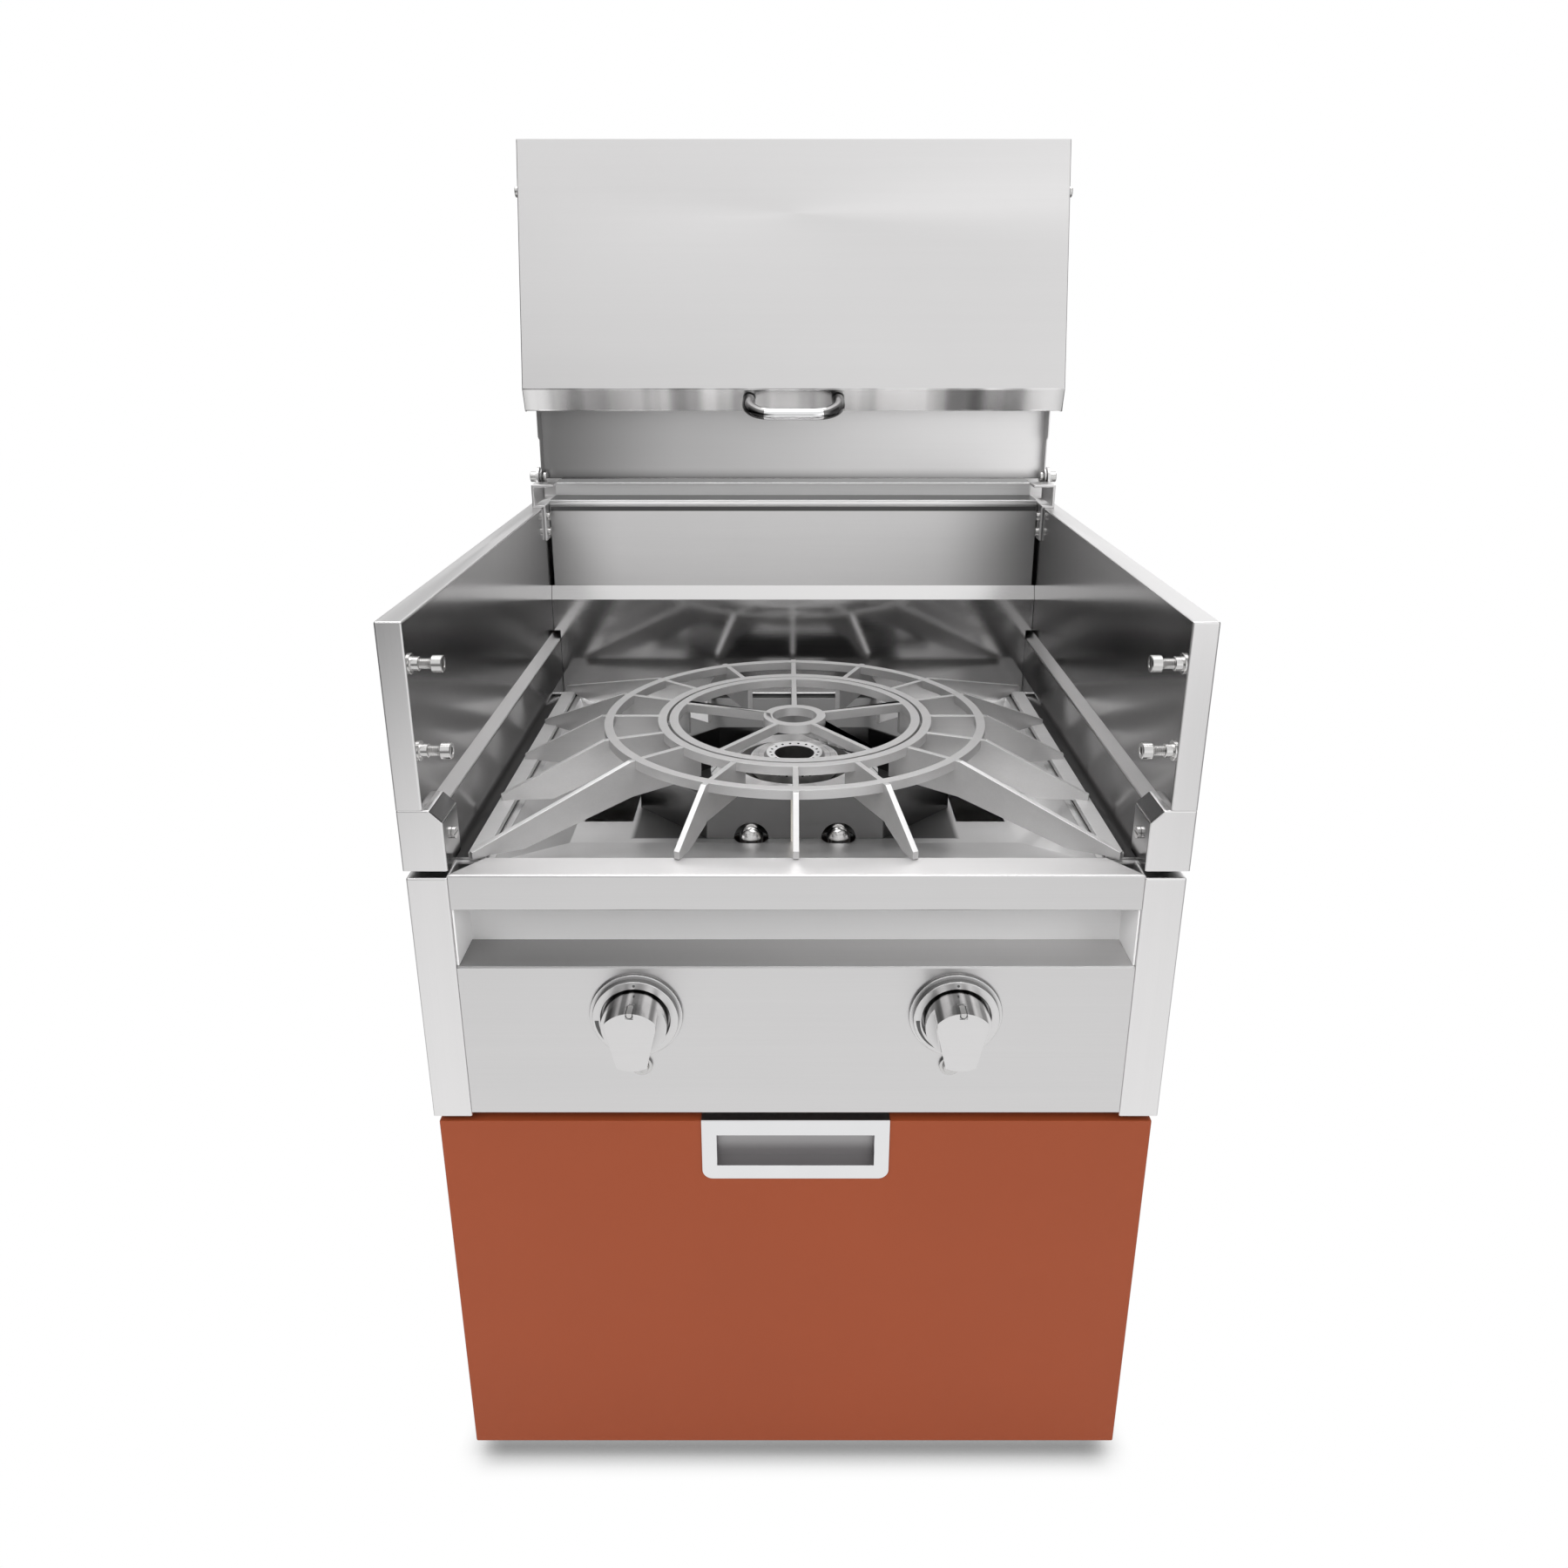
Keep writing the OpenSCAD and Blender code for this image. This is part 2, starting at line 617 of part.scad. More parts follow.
// Cap screws that a loose front guard hangs on
module guard_screws() color("silver") placed() both() for (z = guard_z) translate([wind_in, guard_y, z]) {
    rod_x([-guard_l, 0, 0], guard_r, guard_l + sheet + 5);
    difference() {
        rod_x([-guard_l - 7, 0, 0], guard_r + 2.5, 8);
        translate([-guard_l - 8, 0, 0]) rotate([0, 90, 0]) cylinder(r = guard_r - 1, h = 5, $fn = 6);
    }
    rod_x([-1.5, 0, 0], 2 * guard_r, 1.5);
}

// Back wall, a little narrower where the hinge brackets' tabs pass its ends
plate = 3;
back_y = body_d - back_space;
pivot_y = body_d - pivot_back;
joint_z = head_z1 + back_joint;
low_wall_y = back_y - back_step;
shelf_y = burner_y + grate_y - 5;
module back_wall_lower() color("darkgray") placed() {
    across(-wind_in + seat, wind_in - seat) polygon(folded([
        [low_wall_y, head_z1 + seat], [low_wall_y, joint_z - 8], [back_y - 2, joint_z + 8]], -sheet));
    difference() {
        across(-beam_in + seat, beam_in - seat) polygon(folded([
            [shelf_y, rim_z + seat], [shelf_y, deck_z], [low_wall_y, deck_z],
            [low_wall_y, head_z1 + 2 * seat]], -sheet));
        both() span([ledge_in - seat, shelf_y - 3, rim_z], [beam_in, shelf_y + 3, ledge_z + seat]);
    }
}
upper_half = wind_in - plate - seat;
module back_wall_upper() color("darkgray") placed() {
    across(-upper_half, upper_half) {
        translate([back_y, joint_z + seat]) square([sheet, wind_z1 - joint_z - seat]);
        translate([back_y + 0.8, wind_z1 + 1]) circle(r = 3);
    }
}
trim_y = back_y + 41;
module back_top_trim() color("gainsboro") placed() across(-upper_half, upper_half)
    polygon(folded([
        [back_y + 5, wind_z1 - 14], [back_y + 5, wind_z1 + 5], [trim_y, wind_z1 + 5],
        [trim_y, wind_z1 + trim_h], [body_d - sheet, wind_z1 + trim_h]], -sheet));

// Hinge brackets: a tab inside the wind panel, a seat over it and an ear that holds the pivot
front_leaf_w = unit_w - 2 * leaf_inset;
rear_leaf_w = front_leaf_w - 2 * leaf_step;
ear_in = rear_leaf_w / 2 + 2;
ear_y0 = pivot_y - 39;
ear_y1 = pivot_y + 18;
tab_w = 18;
tab_y = ear_y0 + 2;
tab_drop = 38;
screw_r = 2.5;
bracket_screw_z = [wind_z1 - 11, wind_z1 - 29];
pivot_z = wind_z1 + pivot_h;
flap_z = pivot_z - 7;
flap_in = ear_in - 22;
ear_round = 11;
module hinge_bracket() {
    difference() {
        union() {
            translate([ear_in, 0, 0]) rotate([90, 0, 90]) linear_extrude(plate) ear_outline();
            span([wind_in - plate, ear_y0, wind_z1], [ear_in + plate, ear_y1, wind_z1 + plate]);
            span([flap_in, ear_y0, flap_z], [ear_in + plate, pivot_y - 14, flap_z + plate]);
            span([wind_in - plate, tab_y, wind_z1 - tab_drop], [wind_in, tab_y + tab_w, wind_z1 + plate]);
        }
        rod_x([ear_in - 1, pivot_y, pivot_z], pivot_d / 2 + run_gap, plate + 2);
        for (z = bracket_screw_z)
            rod_x([wind_in - plate - 1, tab_y + tab_w / 2, z], screw_r + run_gap, plate + 2);
    }
}
module ear_outline() {
    translate([ear_y0, wind_z1]) square([ear_y1 - ear_y0, flap_z + plate - wind_z1]);
    translate([pivot_y - ear_round, wind_z1]) square([2 * ear_round, pivot_h]);
    translate([pivot_y, pivot_z]) circle(r = ear_round);
}
module hinge_bracket_left() color("silver") placed() side(-1) hinge_bracket();
module hinge_bracket_right() color("silver") placed() side(1) hinge_bracket();

// Slotted screws of the brackets and the corner blocks, heads inwards
module slotted_screw(x, y, z, grip) translate([x, y, z]) {
    rod_x([0, 0, 0], screw_r, grip + 6);
    difference() {
        rod_x([-3, 0, 0], screw_r + 2.5, 3);
        span([-4, -6, -0.6], [-1.8, 6, 0.6]);
    }
}
module bracket_screws() color("silver") placed() both() {
    for (z = bracket_screw_z) slotted_screw(wind_in - plate, tab_y + tab_w / 2, z, plate + sheet);
    slotted_screw(block_in, block_screw_y, block_screw_z, sheet);
}

// A bolt with a round head outside at x1, a spacer collar, and a nut inside at x0
module pivot_bolt(x0, collar0, collar1, x1, head) {
    rod_x([x0, 0, 0], pivot_d / 2, x1 - x0);
    rod_x([x0 - 1, 0, 0], pivot_d / 2 + 2.5, 4);
    rod_x([collar0, 0, 0], pivot_d / 2 + 2.5, collar1 - collar0);
    rod_x([x1, 0, 0], pivot_d / 2 + 2, head);
}
module lower_pivot_bolts() color("silver") placed() both() translate([0, pivot_y, pivot_z])
    pivot_bolt(rear_x_in - 4, rear_leaf_w / 2 + seat, ear_in, ear_in + plate, 8);

// Cover. Each leaf is drawn upright about its own pivot and then leaned back
front_lean = rear_lean + fold_gap;
rear_x_in = rear_leaf_w / 2 - lid_t;
front_x_in = front_leaf_w / 2 - lid_t;
rear_skin = 11.5;
rear_edge = rear_skin - leaf_depth;
front_skin = rear_skin + 2;
bumper_tip = pivot_h - 2 * seat;
bumper_r = 5;
bumper_z = (rear_edge - seat - bumper_r - (bumper_tip - bumper_r) * cos(fold_gap)) / sin(fold_gap);
module at_lower_pivot() placed() translate([0, pivot_y, pivot_z]) rotate([-rear_lean, 0, 0]) children();
module at_upper_pivot() at_lower_pivot() translate([0, 0, leaf_l]) rotate([-fold_gap, 0, 0]) children();

// The rear leaf's side leaves room for the bracket's flap when the cover is closed
lug_r = 10;
notch_end = 42;
module rear_side_outline() {
    polygon([[rear_skin, -3], [rear_skin, leaf_l + 3], [0, leaf_l + 3], [0, leaf_l], [rear_edge, leaf_l],
        [rear_edge, notch_end + 4], [rear_skin - 15, notch_end], [rear_skin - 15, 0], [0, -3]]);
    circle(r = lug_r);
    translate([0, leaf_l]) circle(r = -rear_edge);
}
module lid_rear_leaf() color("gainsboro") at_lower_pivot() difference() {
    union() {
        span([-rear_leaf_w / 2, rear_skin - lid_t, -3], [rear_leaf_w / 2, rear_skin, leaf_l + 3]);
        both() across(rear_x_in, rear_leaf_w / 2) rear_side_outline();
        span([-flap_in + 2, -2, -3], [flap_in - 2, rear_skin, -3 + lid_t]);
    }
    for (z = [0, leaf_l]) rod_x([-rear_leaf_w, 0, z], pivot_d / 2 + run_gap, 2 * rear_leaf_w);
}
module upper_pivot_bolts() color("silver") at_lower_pivot() translate([0, 0, leaf_l]) both()
    pivot_bolt(rear_x_in - 4, rear_leaf_w / 2, front_x_in - seat, front_leaf_w / 2 + seat, 4.5);

lip_y = -front_skin + lip_w * sin(lip_bend);
lip_z = -leaf_drop - lip_w * cos(lip_bend);
front_side_y = bumper_tip - 3;
module front_side_outline() {
    polygon([[-front_skin, leaf_over], [10.5, leaf_over], [10.5, -leaf_drop * 0.19], [front_side_y, -leaf_drop * 0.56],
        [front_side_y, lip_z + 10], [lip_y + 4, lip_z], [lip_y, lip_z], [-front_skin, -leaf_drop]]);
}
module lid_front_leaf() color("gainsboro") at_upper_pivot() difference() {
    union() {
        across(-front_leaf_w / 2, front_leaf_w / 2) polygon(folded([
            [-front_skin, leaf_over], [-front_skin, -leaf_drop], [lip_y, lip_z],
            [lip_y + 10, lip_z + 3]], lid_t));
        both() across(front_x_in, front_leaf_w / 2) front_side_outline();
    }
    rod_x([-front_leaf_w, 0, 0], pivot_d / 2 + run_gap, 2 * front_leaf_w);
    both() translate([0, -front_skin, -leaf_drop]) rotate([lip_bend, 0, 0])
        rod_y([handle_w / 2 - handle_d / 2, -1, -lip_w * 0.45], handle_screw_r + run_gap, lid_t + 3);
}

// Rubber bumpers: they rest on the rear leaf when folded and on the wind panels when closed
bumper_w = 9;
module lid_bumpers() color("dimgray") at_upper_pivot() both()
    across(front_x_in - bumper_w, front_x_in) {
        translate([2, bumper_z - bumper_r]) square([bumper_tip - bumper_r - 2, 2 * bumper_r]);
        translate([bumper_tip - bumper_r, bumper_z]) circle(r = bumper_r);
    }

// Bow handle: a bar on two curved arms
handle_screw_r = 2.5;
arm_r = 16;
module lid_handle() color("whitesmoke") at_upper_pivot()
    translate([0, -front_skin, -leaf_drop]) rotate([lip_bend, 0, 0]) translate([0, 0, -lip_w * 0.45]) {
        bar = handle_w / 2 - handle_d / 2 - arm_r;
        rod_x([-bar, -handle_reach, 0], handle_d / 2, 2 * bar);
        both() {
            rod_y([bar + arm_r, -handle_reach + arm_r, 0], handle_d / 2, handle_reach - arm_r);
            translate([bar, -handle_reach + arm_r, 0]) rotate_extrude(angle = -90)
                translate([arm_r, 0]) circle(r = handle_d / 2);
            rod_y([bar + arm_r, -3, 0], handle_d / 2 + 2, 3);
            rod_y([bar + arm_r, -1, 0], handle_screw_r, 1 + lid_t + 4);
            rod_y([bar + arm_r, lid_t, 0], handle_screw_r + 2, 3);
        }
    }

// Half width, front, back, cut corner and height of the box round the burner
box_x = 148;
box_y0 = burner_y - 89;
box_y1 = burner_y + 89;
box_cut = 69;
box_h = 42;

// Burner pan: a rim under the grate's seats and sides that slope down to a flat floor
rim_z = ledge_z - sheet - seat;
rim_x = beam_in - seat - sheet;
rim_y0 = rail_d + seat;
rim_y1 = low_wall_y - 2;
well_x = ledge_in - 5;
well_y0 = rim_y0 + 3;
well_y1 = shelf_y - 4;
floor_x = 205;
floor_y0 = box_y0 - 10;
floor_y1 = box_y1 + 14;
pan_t = 1.2;
module pan_well(grow, up) hull() {
    span([-floor_x - grow, floor_y0 - grow, pan_z - grow], [floor_x + grow, floor_y1 + grow, pan_z - grow + 0.1]);
    span([-well_x - grow, well_y0 - grow, rim_z - pan_t], [well_x + grow, well_y1 + grow, rim_z + up]);
}
module burner_pan() color("silver") placed() difference() {
    union() {
        span([-rim_x, rim_y0, rim_z - pan_t], [rim_x, rim_y1, rim_z]);
        pan_well(pan_t, 0);
    }
    pan_well(0, 1);
    both() rod_z([tube_x, tube_y, pan_z - 8], mouth_r, 24);
    both() span([box_x + 5, burner_y - 54, pan_z - 5], [floor_x - 6, burner_y + 28, pan_z + 5]);
}

// Box round the burner, with cut corners and two half-round mouths at its front
function box_outline(g) = [
    [-box_x - g + box_cut, box_y0 - g], [box_x + g - box_cut, box_y0 - g], [box_x + g, box_y0 - g + box_cut],
    [box_x + g, box_y1 + g - box_cut], [box_x + g - box_cut, box_y1 + g], [-box_x - g + box_cut, box_y1 + g],
    [-box_x - g, box_y1 + g - box_cut], [-box_x - g, box_y0 - g + box_cut]];
module burner_box() color("gray") placed() difference() {
    translate([0, 0, pan_z + 0.1]) linear_extrude(box_h) polygon(box_outline(sheet));
    translate([0, 0, pan_z - 1]) linear_extrude(box_h + 2) polygon(box_outline(0));
    both() rod_y([tube_x, box_y0 - 5, pan_z], mouth_r, 10);
}

// Burner base on three legs, with two mixing tubes that leave it forwards and go down
tube_x = 40;
tube_y = box_y0 + 2;
tube_r = 11;
mouth_r = tube_r + 5;
neck_r = 6;
neck_z = pan_z + neck_r + 1;
neck_l = 42;
tube_drop = 62;
tube_foot = pan_z - tube_drop;
base_drop = 21;
base_leg_r = 60;
base_z = deck_z - base_drop;
module burner_base() color("dimgray") placed() {
    difference() {
        union() {
            rod_z([0, burner_y, base_z], outer_burner_r - 6, 9);
            for (a = [30, 150, 270]) translate([0, burner_y, pan_z + 0.1]) rotate([0, 0, a])
                rod_z([base_leg_r, 0, 0], 6, base_z - pan_z + 1);
            both() {
                rod_z([tube_x, tube_y, tube_foot], tube_r, pan_z - tube_foot);
                translate([tube_x, tube_y, pan_z]) sphere(r = tube_r);
                rod_y([tube_x, tube_y, neck_z], neck_r, neck_l);
                rod_z([tube_x, tube_y + neck_l, neck_z - neck_r], neck_r + 2, base_z - neck_z + neck_r + 1);
            }
        }
        rod_z([0, burner_y, base_z - 1], burner_bore_r, 12);
        both() rod_z([tube_x, tube_y, tube_foot - 1], tube_r - 2, pan_z - tube_foot - 6);
    }
}

// Outer burner: a ring with a sloped, slotted rim
outer_h = 11;
module outer_burner() color("lightgray") placed() translate([0, burner_y, base_z + 9]) difference() {
    rotate_extrude() polygon([
        [gap_r, 0], [outer_burner_r, 0], [outer_burner_r, outer_h - 7], [outer_burner_r - 7, outer_h],
        [gap_r, outer_h]]);
    for (k = [0 : outer_slots - 1]) rotate([0, 0, k * 360 / outer_slots])
        translate([outer_burner_r - 6.5, -0.9, outer_h - 8]) cube([12, 1.8, 12]);
}

// Inner burner: a disc with a raised ring of ports round its bore
inner_top = deck_z + burner_rise;
module inner_burner() color("lightgray") placed() translate([0, burner_y, base_z + 9]) {
    h = inner_top - base_z - 9;
    difference() {
        rotate_extrude() polygon([
            [burner_bore_r, 0], [disc_r - 4, 0], [disc_r, 4], [disc_r, h - 5], [disc_r - 2, h - 3],
            [port_ring_r + 2, h - 3], [port_ring_r, h], [burner_bore_r, h - 1]]);
        for (k = [0 : 11]) rotate([0, 0, k * 30 + 15]) translate([(port_ring_r + burner_bore_r) / 2, 0, h - 3])
            cylinder(r = 1.1, h = 5, $fn = 16);
    }
}

// Spark electrode: a post before the box with a wire over the outer burner's rim
spark_x = -1;
spark_y = box_y0 - sheet - 4;
spark_top = pan_z + box_h + 4;
module spark_electrode() color("white") placed() {
    rod_z([spark_x, spark_y, pan_z], 3, spark_top - pan_z);
    rod_y([spark_x, spark_y, spark_top - 2], 1.2, burner_y - outer_burner_r + 6 - spark_y);
}

// Gas train: a manifold across, a valve in front of it for each knob, and pipes to the mixing tubes
manifold_y = valve_y0 + valve_l + manifold_d / 2;
manifold_x = 190;
pipe_r = 4;
pipe_drop = 30;
pipe_z = knob_axis_z - pipe_drop;
module gas_manifold() color("lightgray") placed() {
    rod_x([-manifold_x, manifold_y, knob_axis_z], manifold_d / 2, 2 * manifold_x);
    both() {
        rod_y([knob_x, manifold_y, pipe_z], pipe_r, tube_y - manifold_y);
        rod_z([knob_x, manifold_y, pipe_z], pipe_r, pipe_drop);
        rod_x([tube_x, tube_y, pipe_z], pipe_r, knob_x - tube_x);
        translate([knob_x, tube_y, pipe_z]) sphere(r = pipe_r);
        translate([knob_x, manifold_y, pipe_z]) sphere(r = pipe_r);
        rod_z([tube_x, tube_y, pipe_z], pipe_r, tube_foot - pipe_z - 6);
    }
    rod_y([manifold_x - 12, manifold_y, knob_axis_z], pipe_r + 3, inlet_y - manifold_y);
    rod_z([manifold_x - 12, inlet_y, inlet_top], pipe_r + 3, knob_axis_z - inlet_top);
    translate([manifold_x - 12, inlet_y, knob_axis_z]) sphere(r = pipe_r + 3);
}
valve_w = 16;
module valve_bodies() color("goldenrod") placed() both() difference() {
    union() {
        span([knob_x - valve_w, valve_y0, knob_axis_z - valve_w + 1],
            [knob_x + valve_w, valve_y0 + valve_l - 6, knob_axis_z + valve_w - 1]);
        rod_y([knob_x, valve_y0, knob_axis_z], 9, valve_l);
        rod_y([knob_x, valve_y0 - 8, knob_axis_z], 7.5, 9);
    }
    rod_y([knob_x, valve_y0 - 9, knob_axis_z], stem_shaft_d / 2 + run_gap, valve_l + 5);
}

inlet_x = manifold_x - 12;
inlet_y = 300;
inlet_top = fascia_z0 + 22;
module gas_inlet() color("goldenrod") placed() {
    rod_z([inlet_x, inlet_y, fascia_z0 - inlet_l], inlet_d / 2, inlet_l);
    rod_z([inlet_x, inlet_y, fascia_z0], inlet_d / 2 + 1, sheet + seat);
    translate([inlet_x, inlet_y, fascia_z0 + sheet + seat]) cylinder(r = inlet_d / 2 + 4, h = 10, $fn = 6);
    rod_z([inlet_x, inlet_y, fascia_z0 + sheet + seat + 9], pipe_r + 5, inlet_top - fascia_z0 - sheet - seat - 9);
}

// Grate: blades at these angles from the x axis in each quarter
blade_angles = [20.7, 39.3, 65.8];
grate_z = deck_z + grate_h;
blade_z = grate_z - 0.4;
ring_z0 = grate_z - ring_bar_h;
end_z0 = deck_z + seat;
end_z1 = deck_z + 7;
knee_r = outer_ring_r + 4;
blade_in = middle_ring_r - ring_w - centre_gap - 8;
function blade_end(a) = min(
    abs(cos(a)) > 0.01 ? (grate_x - 2) / abs(cos(a)) : 9999,
    abs(sin(a)) > 0.01 ? grate_y / abs(sin(a)) : 9999);
function blade_top(r, e) = blade_z - (blade_z - end_z1) * max(r - knee_r, 0) / (e - knee_r);
function blade_low(r, e) = max(blade_top(r, e) - blade_depth, end_z0 - 4);
module blade(a) {
    e = blade_end(a);
    turn = e - 45;
    translate([0, burner_y, 0]) rotate([0, 0, a]) rotate([90, 0, 0]) translate([0, 0, -blade_t / 2])
        linear_extrude(blade_t) polygon(concat(
            [[blade_in, blade_z - blade_depth], [blade_in, ring_z0 - seat],
                [middle_ring_r - ring_w + 1, ring_z0 - seat], [middle_ring_r - ring_w + 1, blade_z],
                [knee_r, blade_z], [e, end_z1], [e, end_z0], [e - 16, end_z0]],
            [[turn, blade_low(turn, e)]],
            turn > knee_r + 1 ? [[knee_r, blade_z - blade_depth]] : []));
}
module flat_ring(r) translate([0, burner_y, ring_z0]) difference() {
    cylinder(r = r, h = ring_bar_h, $fn = 96);
    translate([0, 0, -1]) cylinder(r = r - ring_w, h = ring_bar_h + 2, $fn = 96);
}
all_angles = concat([0, 90, 180, 270], [for (a = blade_angles) each [a, 180 - a, 180 + a, 360 - a]]);
bar_half = grate_y - 8;
module wok_grate() color("darkgray") placed() {
    flat_ring(outer_ring_r);
    flat_ring(middle_ring_r);
    for (a = all_angles) blade(a);
    both() span([grate_x - bar_w, burner_y - bar_half, deck_z + 2 - bar_t],
        [grate_x, burner_y + bar_half, deck_z + 2]);
}

// Loose centre grate: a ring, a hub and plain radial bars
centre_r = middle_ring_r - ring_w - centre_gap;
hub_r = 30;
centre_bars = 5;
module centre_grate() color("darkgray") placed() {
    flat_ring(centre_r);
    flat_ring(hub_r);
    for (k = [0 : centre_bars - 1]) translate([0, burner_y, 0]) rotate([0, 0, 90 + k * 360 / centre_bars])
        span([hub_r - ring_w / 2, -blade_t / 2, ring_z0], [centre_r - ring_w / 2, blade_t / 2, grate_z]);
}

levelling_feet();
cabinet_floor();
cabinet_side_left();
cabinet_side_right();
cabinet_back();
cabinet_top_frame();
outer_runners();
middle_runners();
inner_runners();
cylinder_tray();
drawer_liner();
drawer_front();
flush_pull();
chassis_floor();
chassis_side_left();
chassis_side_right();
rear_panel();
post_left();
post_right();
front_rail();
recess_panel();
control_panel();
knob_bezels();
button_bezels();
valve_stem_left();
valve_stem_right();
knob_left();
knob_right();
button_left();
button_right();
head_side_left();
head_side_right();
corner_block_left();
corner_block_right();
wind_panel_left();
wind_panel_right();
guard_screws();
back_wall_lower();
back_wall_upper();
back_top_trim();
hinge_bracket_left();
hinge_bracket_right();
bracket_screws();
lower_pivot_bolts();
lid_rear_leaf();
upper_pivot_bolts();
lid_front_leaf();
lid_bumpers();
lid_handle();
burner_pan();
burner_box();
burner_base();
outer_burner();
inner_burner();
spark_electrode();
gas_manifold();
valve_bodies();
gas_inlet();
wok_grate();
centre_grate();
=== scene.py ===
"""Looks of a freestanding outdoor power burner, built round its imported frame.

Every piece is drawn in the frame's own axes, in metres: X across, Y from front to back, Z up.
"""
import json
import math

import bmesh
import bpy
from bpy.props import FloatProperty, FloatVectorProperty, IntProperty, PointerProperty
from bpy.types import Operator, Panel, PropertyGroup
from mathutils import Matrix, Vector

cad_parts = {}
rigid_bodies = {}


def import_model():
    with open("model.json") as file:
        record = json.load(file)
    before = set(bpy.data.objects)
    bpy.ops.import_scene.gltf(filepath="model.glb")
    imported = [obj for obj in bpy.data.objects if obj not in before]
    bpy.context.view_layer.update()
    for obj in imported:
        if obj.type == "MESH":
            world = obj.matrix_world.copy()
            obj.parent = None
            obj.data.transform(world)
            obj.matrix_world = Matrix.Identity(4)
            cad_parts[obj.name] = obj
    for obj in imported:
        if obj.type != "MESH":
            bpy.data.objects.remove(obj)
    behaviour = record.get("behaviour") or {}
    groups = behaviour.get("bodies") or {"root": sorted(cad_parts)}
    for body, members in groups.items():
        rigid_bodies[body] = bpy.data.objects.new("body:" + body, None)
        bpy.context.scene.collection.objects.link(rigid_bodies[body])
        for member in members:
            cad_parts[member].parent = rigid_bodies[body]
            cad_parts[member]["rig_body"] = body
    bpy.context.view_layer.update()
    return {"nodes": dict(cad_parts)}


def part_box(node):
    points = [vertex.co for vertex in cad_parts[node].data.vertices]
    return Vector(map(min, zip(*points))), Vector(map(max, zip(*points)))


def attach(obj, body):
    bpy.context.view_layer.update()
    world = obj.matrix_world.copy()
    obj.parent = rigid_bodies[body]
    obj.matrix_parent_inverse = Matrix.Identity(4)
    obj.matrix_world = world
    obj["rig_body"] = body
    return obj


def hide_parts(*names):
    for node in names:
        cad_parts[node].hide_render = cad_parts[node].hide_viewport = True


bl_info = {
    "name": "Outdoor Power Burner",
    "version": (1, 0, 0),
    "blender": (4, 5, 0),
    "location": "View3D > Sidebar > Burner",
    "description": "Dresses the power burner's frame in folded steel, paint and cast pieces",
    "category": "Object",
}

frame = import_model()
MM = 0.001

# Sides of the burner as the user sees them, with the sign of x there
SIDES = {"left": -1, "right": 1}

# A face looks along an axis when its normal's share of that axis is past this
FACING = 0.9


def corner(node, high):
    """One corner of a CAD node's box."""
    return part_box(node)[1 if high else 0]


# Places that several pieces share, read from the frame
FASCIA_Y = corner("post_left", False).y
KNOB_AT = (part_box("knob_right")[0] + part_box("knob_right")[1]) / 2
BUTTON_AT = (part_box("button_right")[0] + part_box("button_right")[1]) / 2
BURNER_AT = (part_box("outer_burner")[0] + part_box("outer_burner")[1]) / 2


def linear(r, g, b):
    """A colour written in screen values from 0 to 255, as the light values that a shader takes."""
    def channel(v):
        v /= 255
        return v / 12.92 if v <= 0.04045 else ((v + 0.055) / 1.055) ** 2.4
    return channel(r), channel(g), channel(b)


# Settings that the panel shows

class SteelSettings(PropertyGroup):
    """Brushed stainless sheet."""

    tint: FloatVectorProperty(
        name="Tint", description="Colour of the stainless sheet", subtype="COLOR",
        size=3, min=0, max=1, default=linear(226, 225, 225))
    grain: FloatProperty(
        name="Grain", description="Depth of the brushed lines", unit="LENGTH",
        min=0, max=0.0005, default=0.00006)
    fold: FloatProperty(
        name="Fold Radius", description="Outside radius of a folded edge", unit="LENGTH",
        min=0.0002, max=0.004, default=0.0016)


class PaintSettings(PropertyGroup):
    """Powder coat on the drawer and the cabinet."""

    colour: FloatVectorProperty(
        name="Colour", description="Colour of the powder coat", subtype="COLOR",
        size=3, min=0, max=1, default=linear(161, 77, 44))
    peel: FloatProperty(
        name="Orange Peel", description="Depth of the coat's fine ripple", unit="LENGTH",
        min=0, max=0.0005, default=0.00004)


class HandleSettings(PropertyGroup):
    """Bow handle on the cover."""

    swell: FloatProperty(
        name="Swell", description="How much thicker the bar is at its feet, as a share",
        subtype="FACTOR", min=0, max=0.5, default=0.2)


class BurnerSettings(PropertyGroup):
    """Ports of the inner burner."""

    inner_ports: IntProperty(
        name="Inner Ports", description="Ports round the inner burner's bore",
        min=6, max=40, default=18)
    side_ports: IntProperty(
        name="Side Ports", description="Ports round the inner burner's side",
        min=12, max=60, default=36)


class StageSettings(PropertyGroup):
    """Floor and camera."""

    floor: FloatVectorProperty(
        name="Floor", description="Colour of the floor", subtype="COLOR",
        size=3, min=0, max=1, default=(0.82, 0.82, 0.82))
    lens: FloatProperty(
        name="Lens", description="Camera lens, in millimetres", min=10, max=120, default=26.008)
    tilt: FloatProperty(
        name="Tilt", description="Camera's angle from straight down", subtype="ANGLE",
        min=0, max=math.pi / 2, default=math.radians(71.57))


# Shader maths

